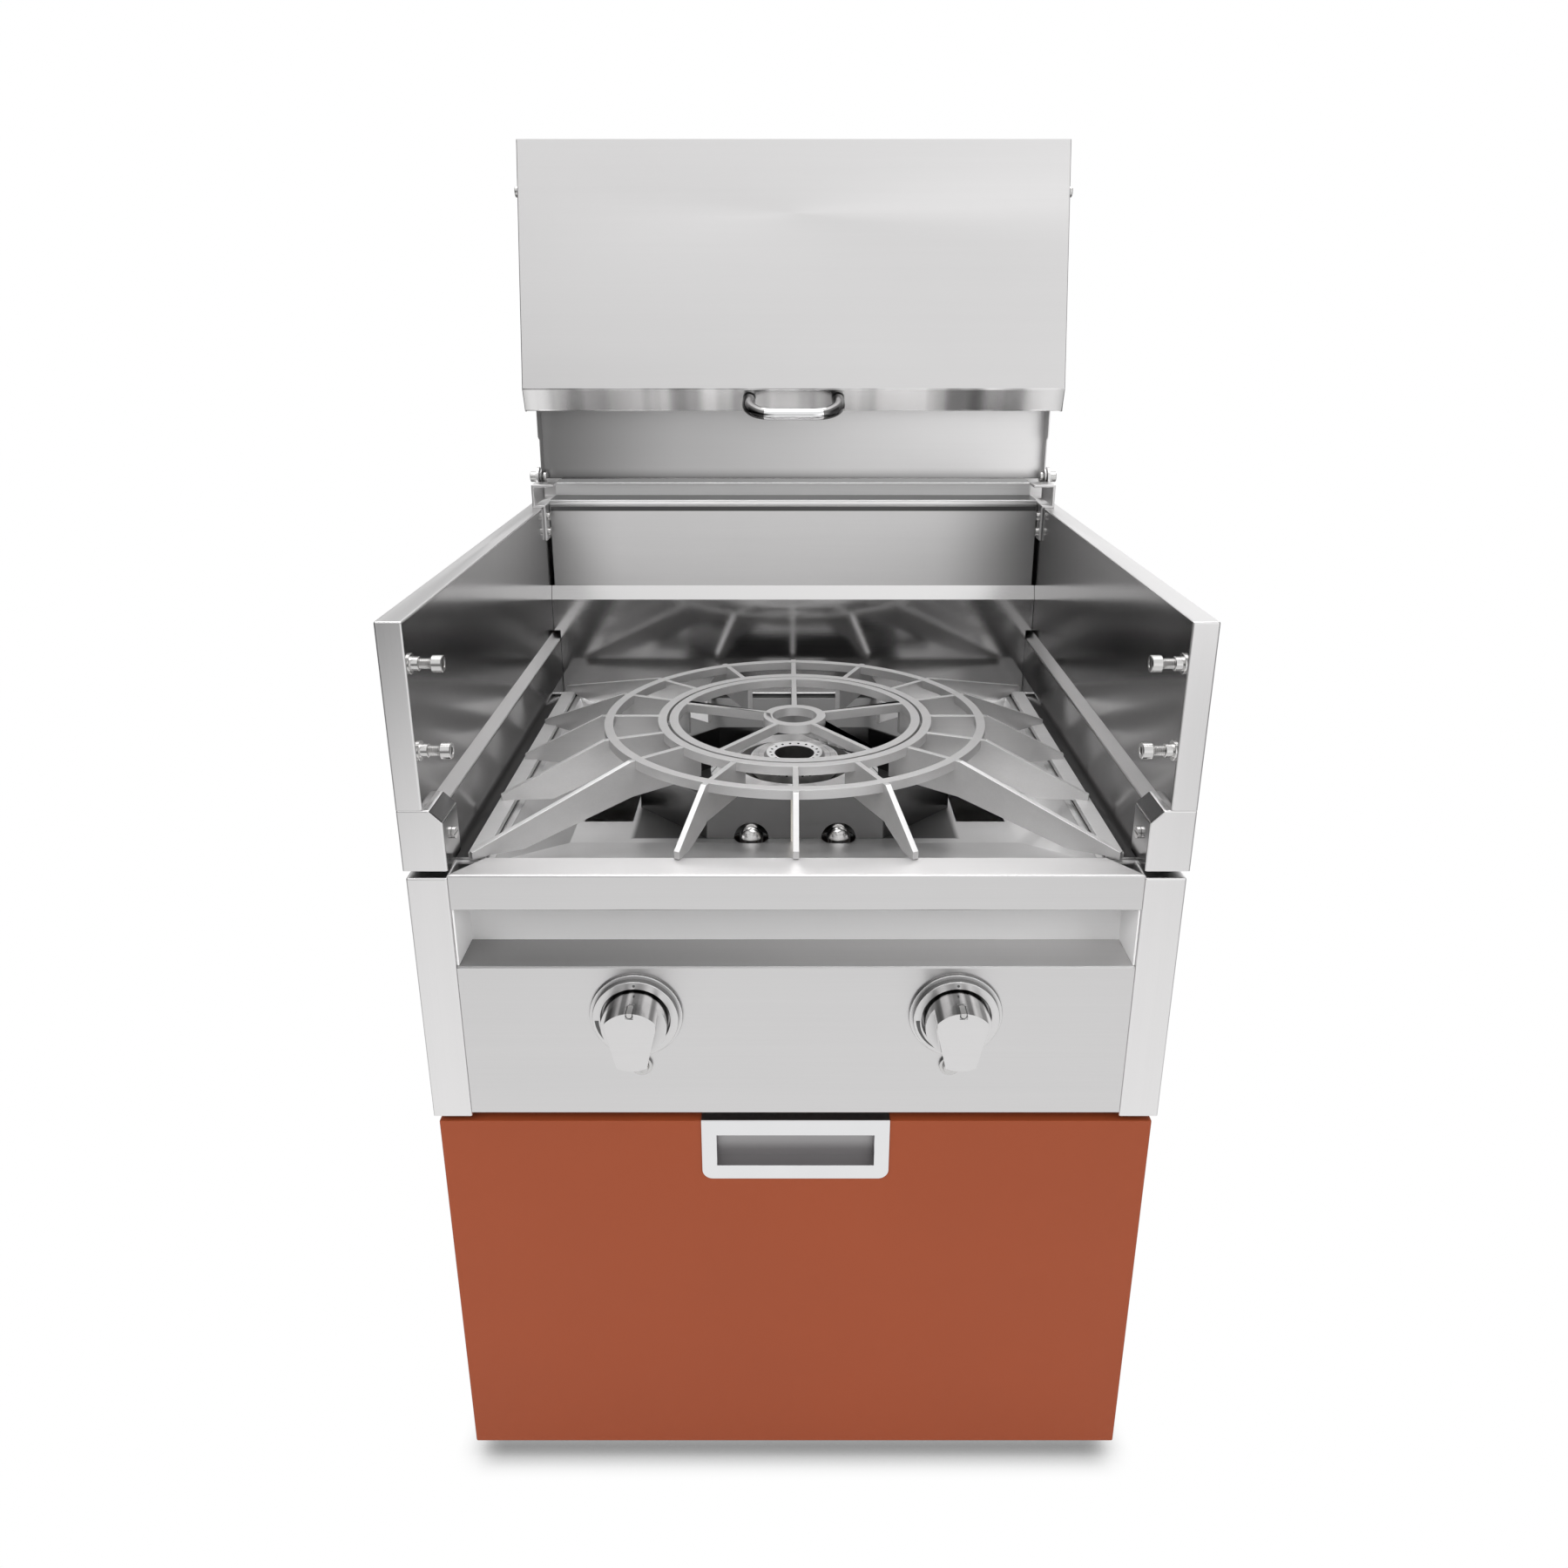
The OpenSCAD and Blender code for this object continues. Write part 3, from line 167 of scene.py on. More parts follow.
class Wire:
    """A socket in a node tree. Expressions on it add Math nodes."""

    def __init__(self, nodes, socket):
        self.nodes = nodes
        self.socket = socket

    def join(self, operation, other, swap=False):
        """A Math node on this value and another one."""
        pair = (other, self) if swap else (self, other)
        return self.nodes.add("ShaderNodeMath", {"operation": operation}, dict(enumerate(pair)))

    def ramp(self, start, end, low=0.0, high=1.0):
        """Eases from low to high while this value goes from start to end."""
        limits = dict(enumerate((self, start, end, low, high)))
        return self.nodes.add("ShaderNodeMapRange", {"interpolation_type": "SMOOTHSTEP"}, limits)

    def __abs__(self):
        return self.join("ABSOLUTE", 0)

    def __add__(self, other):
        return self.join("ADD", other)

    def __sub__(self, other):
        return self.join("SUBTRACT", other)

    def __rsub__(self, other):
        return self.join("SUBTRACT", other, swap=True)

    def __mul__(self, other):
        return self.join("MULTIPLY", other)

    def __truediv__(self, other):
        return self.join("DIVIDE", other)

    def __pow__(self, other):
        return self.join("POWER", other)

    __radd__ = __add__
    __rmul__ = __mul__


def about(base, noise, swing):
    """A value that a noise from 0 to 1 moves up and down by half the swing."""
    return base + noise * swing - swing / 2


class Nodes:
    """The node tree of a material or a sky. One method adds every node."""

    def __init__(self, owner, end):
        owner.use_nodes = True
        self.tree = owner.node_tree
        self.tree.nodes.clear()
        self.end = self.tree.nodes.new(end)

    def add(self, kind, settings=None, inputs=None, out=0):
        """Adds a node, sets it, feeds its inputs and gives back one of its outputs."""
        node = self.tree.nodes.new(kind)
        for key, value in (settings or {}).items():
            setattr(node, key, value)
        for key, value in (inputs or {}).items():
            self.feed(node.inputs[key], value)
        return Wire(self, node.outputs[out])

    def feed(self, entry, value):
        """Links a wire to a socket, or sets the socket's own value."""
        if isinstance(value, Wire):
            self.tree.links.new(value.socket, entry)
        elif entry.type == "RGBA":
            entry.default_value = (*value, 1)
        else:
            entry.default_value = value

    def split(self, vector):
        """A vector's x, y and z, each as a wire."""
        node = self.add("ShaderNodeSeparateXYZ", inputs={"Vector": vector}).socket.node
        return [Wire(self, end) for end in node.outputs]

    def close(self, shader):
        """Ends the tree with a shader."""
        self.feed(self.end.inputs["Surface"], shader)

    def show(self, others, glossy, camera):
        """Ends the tree with one shader for the camera, one for reflections and one for other rays."""
        shader = others
        for ray, seen in (("Is Glossy Ray", glossy), ("Is Camera Ray", camera)):
            share = self.add("ShaderNodeLightPath", out=ray)
            shader = self.add("ShaderNodeMixShader", inputs={0: share, 1: shader, 2: seen})
        self.close(shader)


class Finish(Nodes):
    """A material, with the noises, blends and bumps that its surface is made of."""

    def __init__(self, name):
        self.material = bpy.data.materials.new(name)
        super().__init__(self.material, "ShaderNodeOutputMaterial")

    def place(self):
        """The point on the piece, in the frame's axes."""
        return self.add("ShaderNodeTexCoord", out="Object")

    def noise(self, stretch, detail=3.0, rough=0.55):
        """Noise whose features are 1 / stretch metres long, on all axes or on each."""
        if not isinstance(stretch, tuple):
            stretch = (stretch, stretch, stretch)
        spot = self.add("ShaderNodeMapping", inputs={"Vector": self.place(), "Scale": stretch})
        return self.add("ShaderNodeTexNoise", inputs={
            "Vector": spot, "Scale": 1.0, "Detail": detail, "Roughness": rough})

    def blend(self, share, low, high):
        """Mixes two colours, from low at 0 to high at 1."""
        return self.add("ShaderNodeMix", {"data_type": "RGBA"}, {0: share, 6: low, 7: high}, out=2)

    def ripple(self, height, depth, strength):
        """A bumped normal."""
        return self.add("ShaderNodeBump", inputs={
            "Height": height, "Distance": depth, "Strength": strength})

    def surface(self, **inputs):
        """Ends the tree with the one shader of a solid surface, and gives back the material."""
        named = {key.replace("_", " "): value for key, value in inputs.items()}
        self.close(self.add("ShaderNodeBsdfPrincipled", inputs=named))
        return self.material


def shade(colour, share):
    """A colour made darker or paler by a share."""
    return tuple(min(1.0, c * share) for c in colour)


def grained(axis, along, across):
    """The stretch of a noise whose lines run along an axis."""
    return tuple(along if letter == axis else across for letter in "xyz")


def brushed_sheet(name, tint, grain, rough, depth, spread=0.05, turn=0.4, metal=1.0, fades=()):
    """Stainless sheet with long brushed lines, faint bands and hand marks.

    Each fade is painted shade: an axis, where it starts and ends on it, and the share of the tint left at
    its start.
    """
    f = Finish(name)
    lines = f.noise(grained(grain, 9, 1100), 4.0, 0.7)
    bands = f.noise(grained(grain, 1.2, 90), 2.0)
    marks = f.noise(7)
    colour = f.blend(lines * 0.6 + bands * 0.4, shade(tint, 1 - spread), shade(tint, 1 + spread))
    # Painted shade: each fade darkens the colour along an axis
    if fades:
        along = dict(zip("xyz", f.split(f.place())))
        for axis, start, end, share in fades:
            colour = f.blend(along[axis].ramp(start, end, share, 1.0), (0, 0, 0), colour)
    return f.surface(
        Base_Color=colour, Metallic=metal, Roughness=about(about(rough, lines, 0.12), marks, 0.06),
        Anisotropic=turn, Normal=f.ripple(lines, depth, 0.35))


def pan_metal(name, tint):
    """Pan sheet: pale in front, painted darker as shade inside the burner's box and on the slope behind it.
    """
    low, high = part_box("burner_box")
    wall = 0.5 * MM
    beside, before, behind = high.x - wall, low.y + wall - BURNER_AT.y, 215 * MM
    f = Finish(name)
    x, y, _ = f.split(f.place())
    from_axis = y - BURNER_AT.y
    out = (abs(x) / beside).join("MAXIMUM", (from_axis / behind).join("MAXIMUM", from_axis / before))
    lines = f.noise(grained("x", 9, 1100), 4.0, 0.7)
    stain = f.noise(11, 4.0)
    sheet = f.blend(lines * 0.6 + stain * 0.4, shade(tint, 0.88), shade(tint, 1.08))
    return f.surface(
        # Painted shade: the sheet drops to about a quarter of its tint inside the box and on the slope
        # behind it
        Base_Color=f.blend(out.ramp(0.98, 1.02, 0.24, 1.0), (0, 0, 0), sheet), Metallic=1.0,
        Roughness=about(0.4, lines, 0.12), Normal=f.ripple(lines, 0.06 * MM, 0.35))


def striped_metal(name, tint, rough):
    """Polished steel with soft upright bands painted into its colour as reflections."""
    f = Finish(name)
    bands = f.noise((13, 0.01, 0.01), 2.5, 0.6)
    fine = f.noise((240, 3, 3), 2.0)
    steel = f.blend(fine, shade(tint, 0.95), tint)
    return f.surface(
        # Painted reflection: the upright bands darken the colour
        Base_Color=f.blend(bands.ramp(0.36, 0.58, 0.3, 1.0), (0, 0, 0), steel), Metallic=1.0,
        Roughness=about(rough, bands, 0.1), Normal=f.ripple(fine, 0.02 * MM, 0.2))


def polished_metal(name, tint, rough):
    """Plated or polished metal with faint haze and wiping marks."""
    f = Finish(name)
    haze = f.noise(26)
    fine = f.noise(600, 2.0)
    return f.surface(
        Base_Color=f.blend(haze, shade(tint, 0.96), shade(tint, 1.03)), Metallic=1.0,
        Roughness=rough + haze * 0.05 + fine * 0.02, Normal=f.ripple(fine, 0.02 * MM, 0.2))


def turned_metal(name, tint, rough, fineness, centre, axis, streaks, mirrored=False):
    """Metal turned on a lathe: fine rings about an axis, and painted reflection streaks round it.

    Fineness is the number of rings in a metre. A mirrored finish serves a left and a right piece.
    """
    f = Finish(name)
    parts = f.split(f.place())
    if mirrored:
        parts[0] = abs(parts[0])
    a, b = [part - mid for part, mid, letter in zip(parts, centre, "xyz") if letter != axis]
    radius = (a * a + b * b) ** 0.5
    rings = (radius * fineness * math.tau).join("SINE", 0)
    fine = f.noise(500)
    face = rings * 0.25 + fine * 0.5 + 0.25
    steel = f.blend(face, shade(tint, 0.93), shade(tint, 1.05))
    never_zero = radius + 1e-6
    way = f.add("ShaderNodeCombineXYZ", inputs={"X": a / never_zero, "Y": b / never_zero})
    # Painted reflection: streaks by the direction round the axis darken the colour
    bands = f.add("ShaderNodeTexNoise", inputs={"Vector": way, "Scale": 3.1, "Detail": 1.0})
    return f.surface(
        Base_Color=f.blend(bands.ramp(0.42, 0.6, streaks, 0.0), steel, shade(tint, 0.2)), Metallic=1.0,
        Roughness=about(rough, fine, 0.1), Normal=f.ripple(face, 0.03 * MM, 0.4))


def powder_coat(name, colour, peel):
    """Satin powder coat with orange peel and a little dust."""
    f = Finish(name)
    skin = f.noise(420, 2.0)
    cloud = f.noise(5)
    return f.surface(
        Base_Color=f.blend(cloud, shade(colour, 0.94), shade(colour, 1.05)),
        Roughness=about(0.5, cloud, 0.08), Specular_IOR_Level=0.3, Normal=f.ripple(skin, peel, 0.35))


def moulded(name, colour, rough, grit=700):
    """Rubber or plastic with a fine moulded grit."""
    f = Finish(name)
    grain = f.noise(grit, 2.0)
    scuff = f.noise(30, 4.0)
    return f.surface(
        Base_Color=f.blend(scuff, shade(colour, 0.85), shade(colour, 1.2)),
        Roughness=about(rough, scuff, 0.14), Normal=f.ripple(grain, 0.1 * MM, 0.4))


def cast_metal(name, colour):
    """Sand-cast iron: coarse skin and dark hollows."""
    f = Finish(name)
    skin = f.noise(260, 5.0, 0.7)
    return f.surface(
        Base_Color=f.blend(skin, shade(colour, 0.7), shade(colour, 1.3)), Metallic=0.6,
        Roughness=about(0.62, skin, 0.2), Normal=f.ripple(skin, 0.4 * MM, 0.7))


FINISHES = {}


def mix_finishes(scene):
    """Every finish of the object, by the name its pieces use."""
    steel, paint = scene.burner_steel, scene.burner_paint
    tint = tuple(steel.tint)
    hem = corner("lid_rear_leaf", False).z

    def sheet(name, share, rough, grain="x", depth=1.0, **more):
        """Brushed sheet, its tint and grain depth as shares of the settings."""
        return brushed_sheet(name, shade(tint, share), grain, rough, steel.grain * depth, **more)

    FINISHES.update({
        "front": sheet("Front Sheet Steel", 1, 0.34),
        "upright": sheet("Upright Sheet Steel", 1.2, 0.34, "z", spread=0.04),
        "flank": sheet("Flank Sheet Steel", 1, 0.32, "y"),
        # Painted shade: a darker copy of the steel for inner walls in shade
        "inner": sheet("Shaded Polished Inner Steel", 0.46, 0.17, "z", 0.4, spread=0.06),
        # Painted shade: a darker copy of the steel for the beams' inner sides
        "deep": sheet("Shaded Inner Steel", 0.3, 0.22, "y", 0.4, spread=0.08),
        # Painted shade and reflection: a near-black copy of the steel for the corner blocks' chamfers
        "jet": sheet("Shaded Polished Chamfer Steel", 0.2, 0.12, "y", 0.3, spread=0.08),
        # Painted shade: a near-black copy of the steel for the strip under the hem and the trim's top faces
        "gap": sheet("Painted Shade Steel", 0.16, 0.3, spread=0.1),
        "band": sheet("Trim Steel", 1.2, 0.5, spread=0.12, turn=0, metal=0.6),
        # Painted shade: the back wall darkens towards both ends
        "back": sheet("Back Wall Steel", 1.05, 0.42, turn=0, metal=0.45,
                      fades=(("x", -0.31, -0.2, 0.45), ("x", 0.31, 0.16, 0.25))),
        # Smooth, and painted darker as shade: a darker copy of the steel for the lower back wall
        "mirror": sheet("Lower Back Wall Steel", 0.62, 0.11, spread=0.06, turn=0),
        # Painted highlight: a paler copy of the steel for the slanted ledge and faces tilted up
        "ledge": sheet("Slanted Ledge Steel", 1.12, 0.2, spread=0.04, turn=0),
        # Painted light: a paler copy of the steel for top faces
        "top": sheet("Rail Top Steel", 1.12, 0.46, turn=0),
        "cover": sheet("Cover Sheet Steel", 1.04, 0.36, spread=0.035),
        # Painted light and shade: a paler copy of the steel, darkening towards the leaf's left end and its
        # foot
        "leaf": sheet("Rear Leaf Steel", 1.25, 0.36, spread=0.035,
                      fades=(("x", -0.32, -0.12, 0.45), ("x", -0.2, 0.25, 0.78),
                             ("z", hem + 4 * MM, hem + 20 * MM, 0.5))),
        # Painted reflection: upright bands on the lip
        "lip": striped_metal("Polished Lip Steel", shade(tint, 1.15), 0.2),
        # Painted shade: a darker copy of the chrome for the handle's feet
        "horn": polished_metal("Shaded Chrome", linear(120, 119, 119), 0.1),
        # Painted light: a paler, nearly matt copy of the steel for the recess and the chassis floor
        "recess": sheet("Recess Sheet Steel", 1.3, 0.5, spread=0.04, turn=0, metal=0.05),
        # Painted shade: a darker copy of the steel for the recess shelf, darker still towards the left
        "shelf": sheet("Recess Shelf Steel", 0.8, 0.4, spread=0.1, metal=0.7,
                       fades=(("x", -0.33, 0.27, 0.5),)),
        "pan": pan_metal("Burner Pan Steel", shade(tint, 1.3)),
        # Painted shade: a near-black copy of the steel for the burner box
        "box": sheet("Burner Box Steel", 0.15, 0.3, spread=0.08),
        # Painted light and shade: the grate's sides take a darker copy of the steel, its tops a paler one
        "blade": sheet("Blade Side Steel", 0.78, 0.4, spread=0.14, turn=0, metal=0.7),
        "plate": sheet("Grate Top Steel", 1.15, 0.4, spread=0.07, turn=0, metal=0.7),
        "rim": sheet("Grate Ring Steel", 0.78, 0.42, spread=0.1, turn=0, metal=0.7),
        "dull": sheet("Dull Inner Steel", 0.7, 0.42, spread=0.08),
        "zinc": polished_metal("Bright Zinc", linear(205, 208, 212), 0.28),
        "chrome": polished_metal("Polished Chrome", linear(240, 240, 241), 0.06),
        # Painted shade: a darker copy of the chrome for the pull's pocket
        "pocket": polished_metal("Pull Pocket Chrome", linear(176, 174, 175), 0.34),
        "screw": polished_metal("Screw Steel", linear(214, 213, 212), 0.18),
        "paint": powder_coat("Burnt Orange Coat", tuple(paint.colour), paint.peel),
        "brass": polished_metal("Valve Brass", linear(214, 176, 96), 0.22),
        "rubber": moulded("Bumper Rubber", (0.016, 0.016, 0.016), 0.7),
        "foot": moulded("Foot Plastic", (0.02, 0.02, 0.021), 0.55),
        "iron": cast_metal("Burner Casting", (0.09, 0.088, 0.085)),
        "ceramic": moulded("Electrode Ceramic", (0.78, 0.75, 0.68), 0.25, 300),
        "shadow": moulded("Port Shadow", (0.006, 0.006, 0.006), 0.8),
        "print": moulded("Bezel Print", (0.11, 0.11, 0.11), 0.5),
        "knob": turned_metal("Turned Knob Steel", tint, 0.16, 500, KNOB_AT, "y", 0.85, mirrored=True),
        # Painted shade: a dark copy of the steel for the knobs' inner flanks and the bezels' sides
        "dusk": sheet("Knob Side Steel", 0.26, 0.3, "y", spread=0.06, turn=0, metal=0.8),
        "grip": sheet("Knob Face Steel", 1.05, 0.36, spread=0.04, turn=0, metal=0.9),
        "ring": turned_metal(
            "Turned Bezel Steel", shade(tint, 1.05), 0.24, 500, KNOB_AT, "y", 0.35, mirrored=True),
        "burner": turned_metal("Turned Burner Steel", shade(tint, 1.25), 0.34, 420, BURNER_AT, "z", 0.25),
        # Painted highlight: a paler, nearly matt copy of the steel for the burners' bright rims
        "bright_rim": sheet("Painted Highlight Burner Rim", 1.3, 0.4, spread=0.04, turn=0, metal=0.2),
    })


# Mesh tools

def in_mm(*pairs):
    """Pairs of sizes written in millimetres, as metres."""
    return [(a * MM, b * MM) for a, b in pairs]


def circle(radius, count):
    """Points evenly round a circle. Six of them make a hexagon."""
    turns = [math.tau * k / count for k in range(count)]
    return [(radius * math.cos(turn), radius * math.sin(turn)) for turn in turns]


def thread(crest, root, start, pitch, turns, rise, fall):
    """The side of a screw thread, for a lathe: each turn goes out to its crest and back to its root."""
    rings = []
    for k in range(turns):
        z = start + k * pitch
        rings += [(crest, z + rise), (root, z + fall)]
    return rings


def settle(name, bm, finish, body, stands_for=()):
    """Turns a bmesh into a piece that rides on a body."""
    crease = math.radians(35)
    bmesh.ops.recalc_face_normals(bm, faces=bm.faces)
    mesh = bpy.data.meshes.new(name)
    bm.to_mesh(mesh)
    bm.free()
    mesh.shade_smooth()
    mesh.set_sharp_from_angle(angle=crease)
    piece = bpy.data.objects.new(name, mesh)
    bpy.context.scene.collection.objects.link(piece)
    mesh.materials.append(FINISHES[finish])
    even = piece.modifiers.new("Flat Faces", "WEIGHTED_NORMAL")
    even.keep_sharp = True
    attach(piece, body)
    if stands_for:
        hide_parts(*stands_for)
    return piece


def body_of_node(node):
    """The body that a CAD node rides on."""
    return frame["nodes"][node]["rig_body"]


def faces_of(node):
    """A CAD node's surface as a bmesh with its flat faces whole again."""
    bm = bmesh.new()
    bm.from_mesh(frame["nodes"][node].data)
    bmesh.ops.remove_doubles(bm, verts=bm.verts, dist=0.002 * MM)
    bmesh.ops.dissolve_limit(
        bm, angle_limit=math.radians(0.4), verts=bm.verts, edges=bm.edges, use_dissolve_boundaries=False)
    return bm


def breadth(face):
    """About the width of a face: twice its area over its outline."""
    return 2 * face.calc_area() / max(face.calc_perimeter(), 1e-9)


def fold_edges(node, finish, radius=None, thin=2.6 * MM, steps=3, name=None):
    """A folded or solid CAD node again, with its outer edges rounded.

    Edges of faces narrower than thin stay sharp, because a sheet's cut edge has no fold.
    """
    fold = math.radians(28)
    bm = faces_of(node)
    chosen = [
        e for e in bm.edges
        if len(e.link_faces) == 2 and e.calc_face_angle_signed(0) > fold
        and min(breadth(f) for f in e.link_faces) > thin]
    if chosen:
        bmesh.ops.bevel(
            bm, geom=chosen, offset=radius or bpy.context.scene.burner_steel.fold, offset_type="OFFSET",
            segments=steps, profile=0.5, affect="EDGES", clamp_overlap=True, loop_slide=True)
    return settle(name or node + "_sheet", bm, finish, body_of_node(node), (node,))


def tone(piece, finish, test):
    """Gives another finish to the faces whose centre and normal pass a test."""
    slot = len(piece.data.materials)
    piece.data.materials.append(FINISHES[finish])
    for face in piece.data.polygons:
        if test(face.center, face.normal):
            face.material_index = slot


def wrap(bm, rows, steps):
    """Joins rows of points that go round something. A row of one point closes to a tip."""
    for low, high in zip(rows, rows[1:]):
        for k in range(steps):
            a, b = low[k % len(low)], low[(k + 1) % len(low)]
            c, d = high[(k + 1) % len(high)], high[k % len(high)]
            corners = list(dict.fromkeys((a, b, c, d)))
            if len(corners) > 2:
                bm.faces.new(corners)


def lathe(bm, rings, steps, place):
    """Adds a turned form: rings are (radius, height) pairs, place puts the axis where it goes."""
    rows = []
    for radius, height in rings:
        points = circle(radius, steps) if radius > 0.001 * MM else [(0, 0)]
        rows.append([bm.verts.new(place @ Vector((x, y, height))) for x, y in points])
    wrap(bm, rows, steps)


def slab(bm, outline, low, high, place):
    """Adds a flat plate: an outline in x and y, from one height to another."""
    rings = [[bm.verts.new(place @ Vector((x, y, z))) for x, y in outline] for z in (low, high)]
    bm.faces.new(reversed(rings[0]))
    bm.faces.new(rings[1])
    wrap(bm, rings, len(outline))


def aim(at, axis):
    """A matrix that takes the Z axis to an axis at a point."""
    turn = Vector((0, 0, 1)).rotation_difference(Vector(axis)).to_matrix().to_4x4()
    return Matrix.Translation(Vector(at)) @ turn


def upright(at):
    """A matrix that stands a flat outline up at a point, facing the front."""
    return Matrix.Translation(at) @ Matrix.Rotation(math.radians(90), 4, "X")


def from_burner(at):
    """How far a point is from the burner's axis."""
    return math.hypot(at.x - BURNER_AT.x, at.y - BURNER_AT.y)


# Pieces

class PieceOperator:
    """What every piece's operator shares."""

    bl_options = {"REGISTER", "UNDO"}


class BURNER_OT_cabinet(PieceOperator, Operator):
    """Builds the cabinet: sides, floor, back, top frame and feet."""

    bl_idname = "burner.cabinet"
    bl_label = "Cabinet"

    def execute(self, context):
        for node in ("cabinet_side_left", "cabinet_side_right"):
            fold_edges(node, "paint", 1.2 * MM)
        for node in ("cabinet_floor", "cabinet_back", "cabinet_top_frame"):
            fold_edges(node, "dull", 1.0 * MM)
        self.feet()
        return {"FINISHED"}

    def feet(self):
        """Four levelling feet: a round pad, a threaded stud and its lock nut."""
        low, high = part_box("levelling_feet")
        pad_radius, pad_top, root, pitch = 19 * MM, 8 * MM, 4.4 * MM, 1.5 * MM
        nut_radius, nut_foot, nut_height = 8.5 * MM, 22 * MM, 5.6 * MM
        turns = int((high.z - pad_top) / pitch)
        pad = in_mm((0, 0), (17.5, 0), (19, 1.5), (19, 4.5), (16, 7), (8, 8), (0, 8))
        stud = [
            (0, pad_top - 1 * MM), (root, pad_top),
            *thread(4.9 * MM, root, pad_top, pitch, turns, 0.5 * MM, 1.2 * MM), (root, high.z), (0, high.z)]
        bm = bmesh.new()
        for x in (low.x + pad_radius, high.x - pad_radius):
            for y in (low.y + pad_radius, high.y - pad_radius):
                place = Matrix.Translation((x, y, 0))
                lathe(bm, pad, 40, place)
                lathe(bm, stud, 24, place)
                slab(bm, circle(nut_radius, 6), nut_foot, nut_foot + nut_height, place)
        settle("threaded_feet", bm, "foot", "frame", ("levelling_feet",))


class BURNER_OT_drawer(PieceOperator, Operator):
    """Builds the cylinder drawer: front, flush pull, tray and runners."""

    bl_idname = "burner.drawer"
    bl_label = "Cylinder Drawer"

    def execute(self, context):
        fold_edges("drawer_front", "paint", 1.6 * MM)
        self.pull()
        fold_edges("drawer_liner", "dull", 0.5 * MM)
        fold_edges("cylinder_tray", "dull", 0.8 * MM)
        for node in ("outer_runners", "middle_runners", "inner_runners"):
            fold_edges(node, "zinc", 0.5 * MM, thin=1.6 * MM)
        return {"FINISHED"}

    def pull(self):
        """A chrome frame round a pocket that is duller, because fingers rub it, and painted darker as
        shade.
        """
        behind = corner("flush_pull", False).y + 1.2 * MM
        half_pocket = 70 * MM
        piece = fold_edges("flush_pull", "chrome", 0.7 * MM, thin=2.2 * MM)
        # The pocket's chrome is painted darker as shade
        tone(piece, "pocket", lambda at, way: at.y > behind and abs(at.x) < half_pocket)


class BURNER_OT_fascia(PieceOperator, Operator):
    """Builds the posts, rail, recess and control panel, and the chassis behind them."""

    bl_idname = "burner.fascia"
    bl_label = "Fascia"

    def execute(self, context):
        for node in ("post_left", "post_right"):
            fold_edges(node, "upright")
        rail = fold_edges("front_rail", "front")
        # The rail's top faces take the painted light
        tone(rail, "top", lambda at, way: way.z > FACING)
        # The recess takes the paler copy of the steel as painted light
        fold_edges("recess_panel", "recess")
        panel = fold_edges("control_panel", "front")
        # Faces tilted up in the recess take the shelf's painted shade
        tone(panel, "shelf", lambda at, way: way.z > 0.5)
        for node in ("chassis_side_left", "chassis_side_right"):
            fold_edges(node, "flank", 0.5 * MM)
        # The chassis floor takes the recess's painted light
        fold_edges("chassis_floor", "recess", 1 * MM)
        fold_edges("rear_panel", "front", 0.5 * MM)
        return {"FINISHED"}


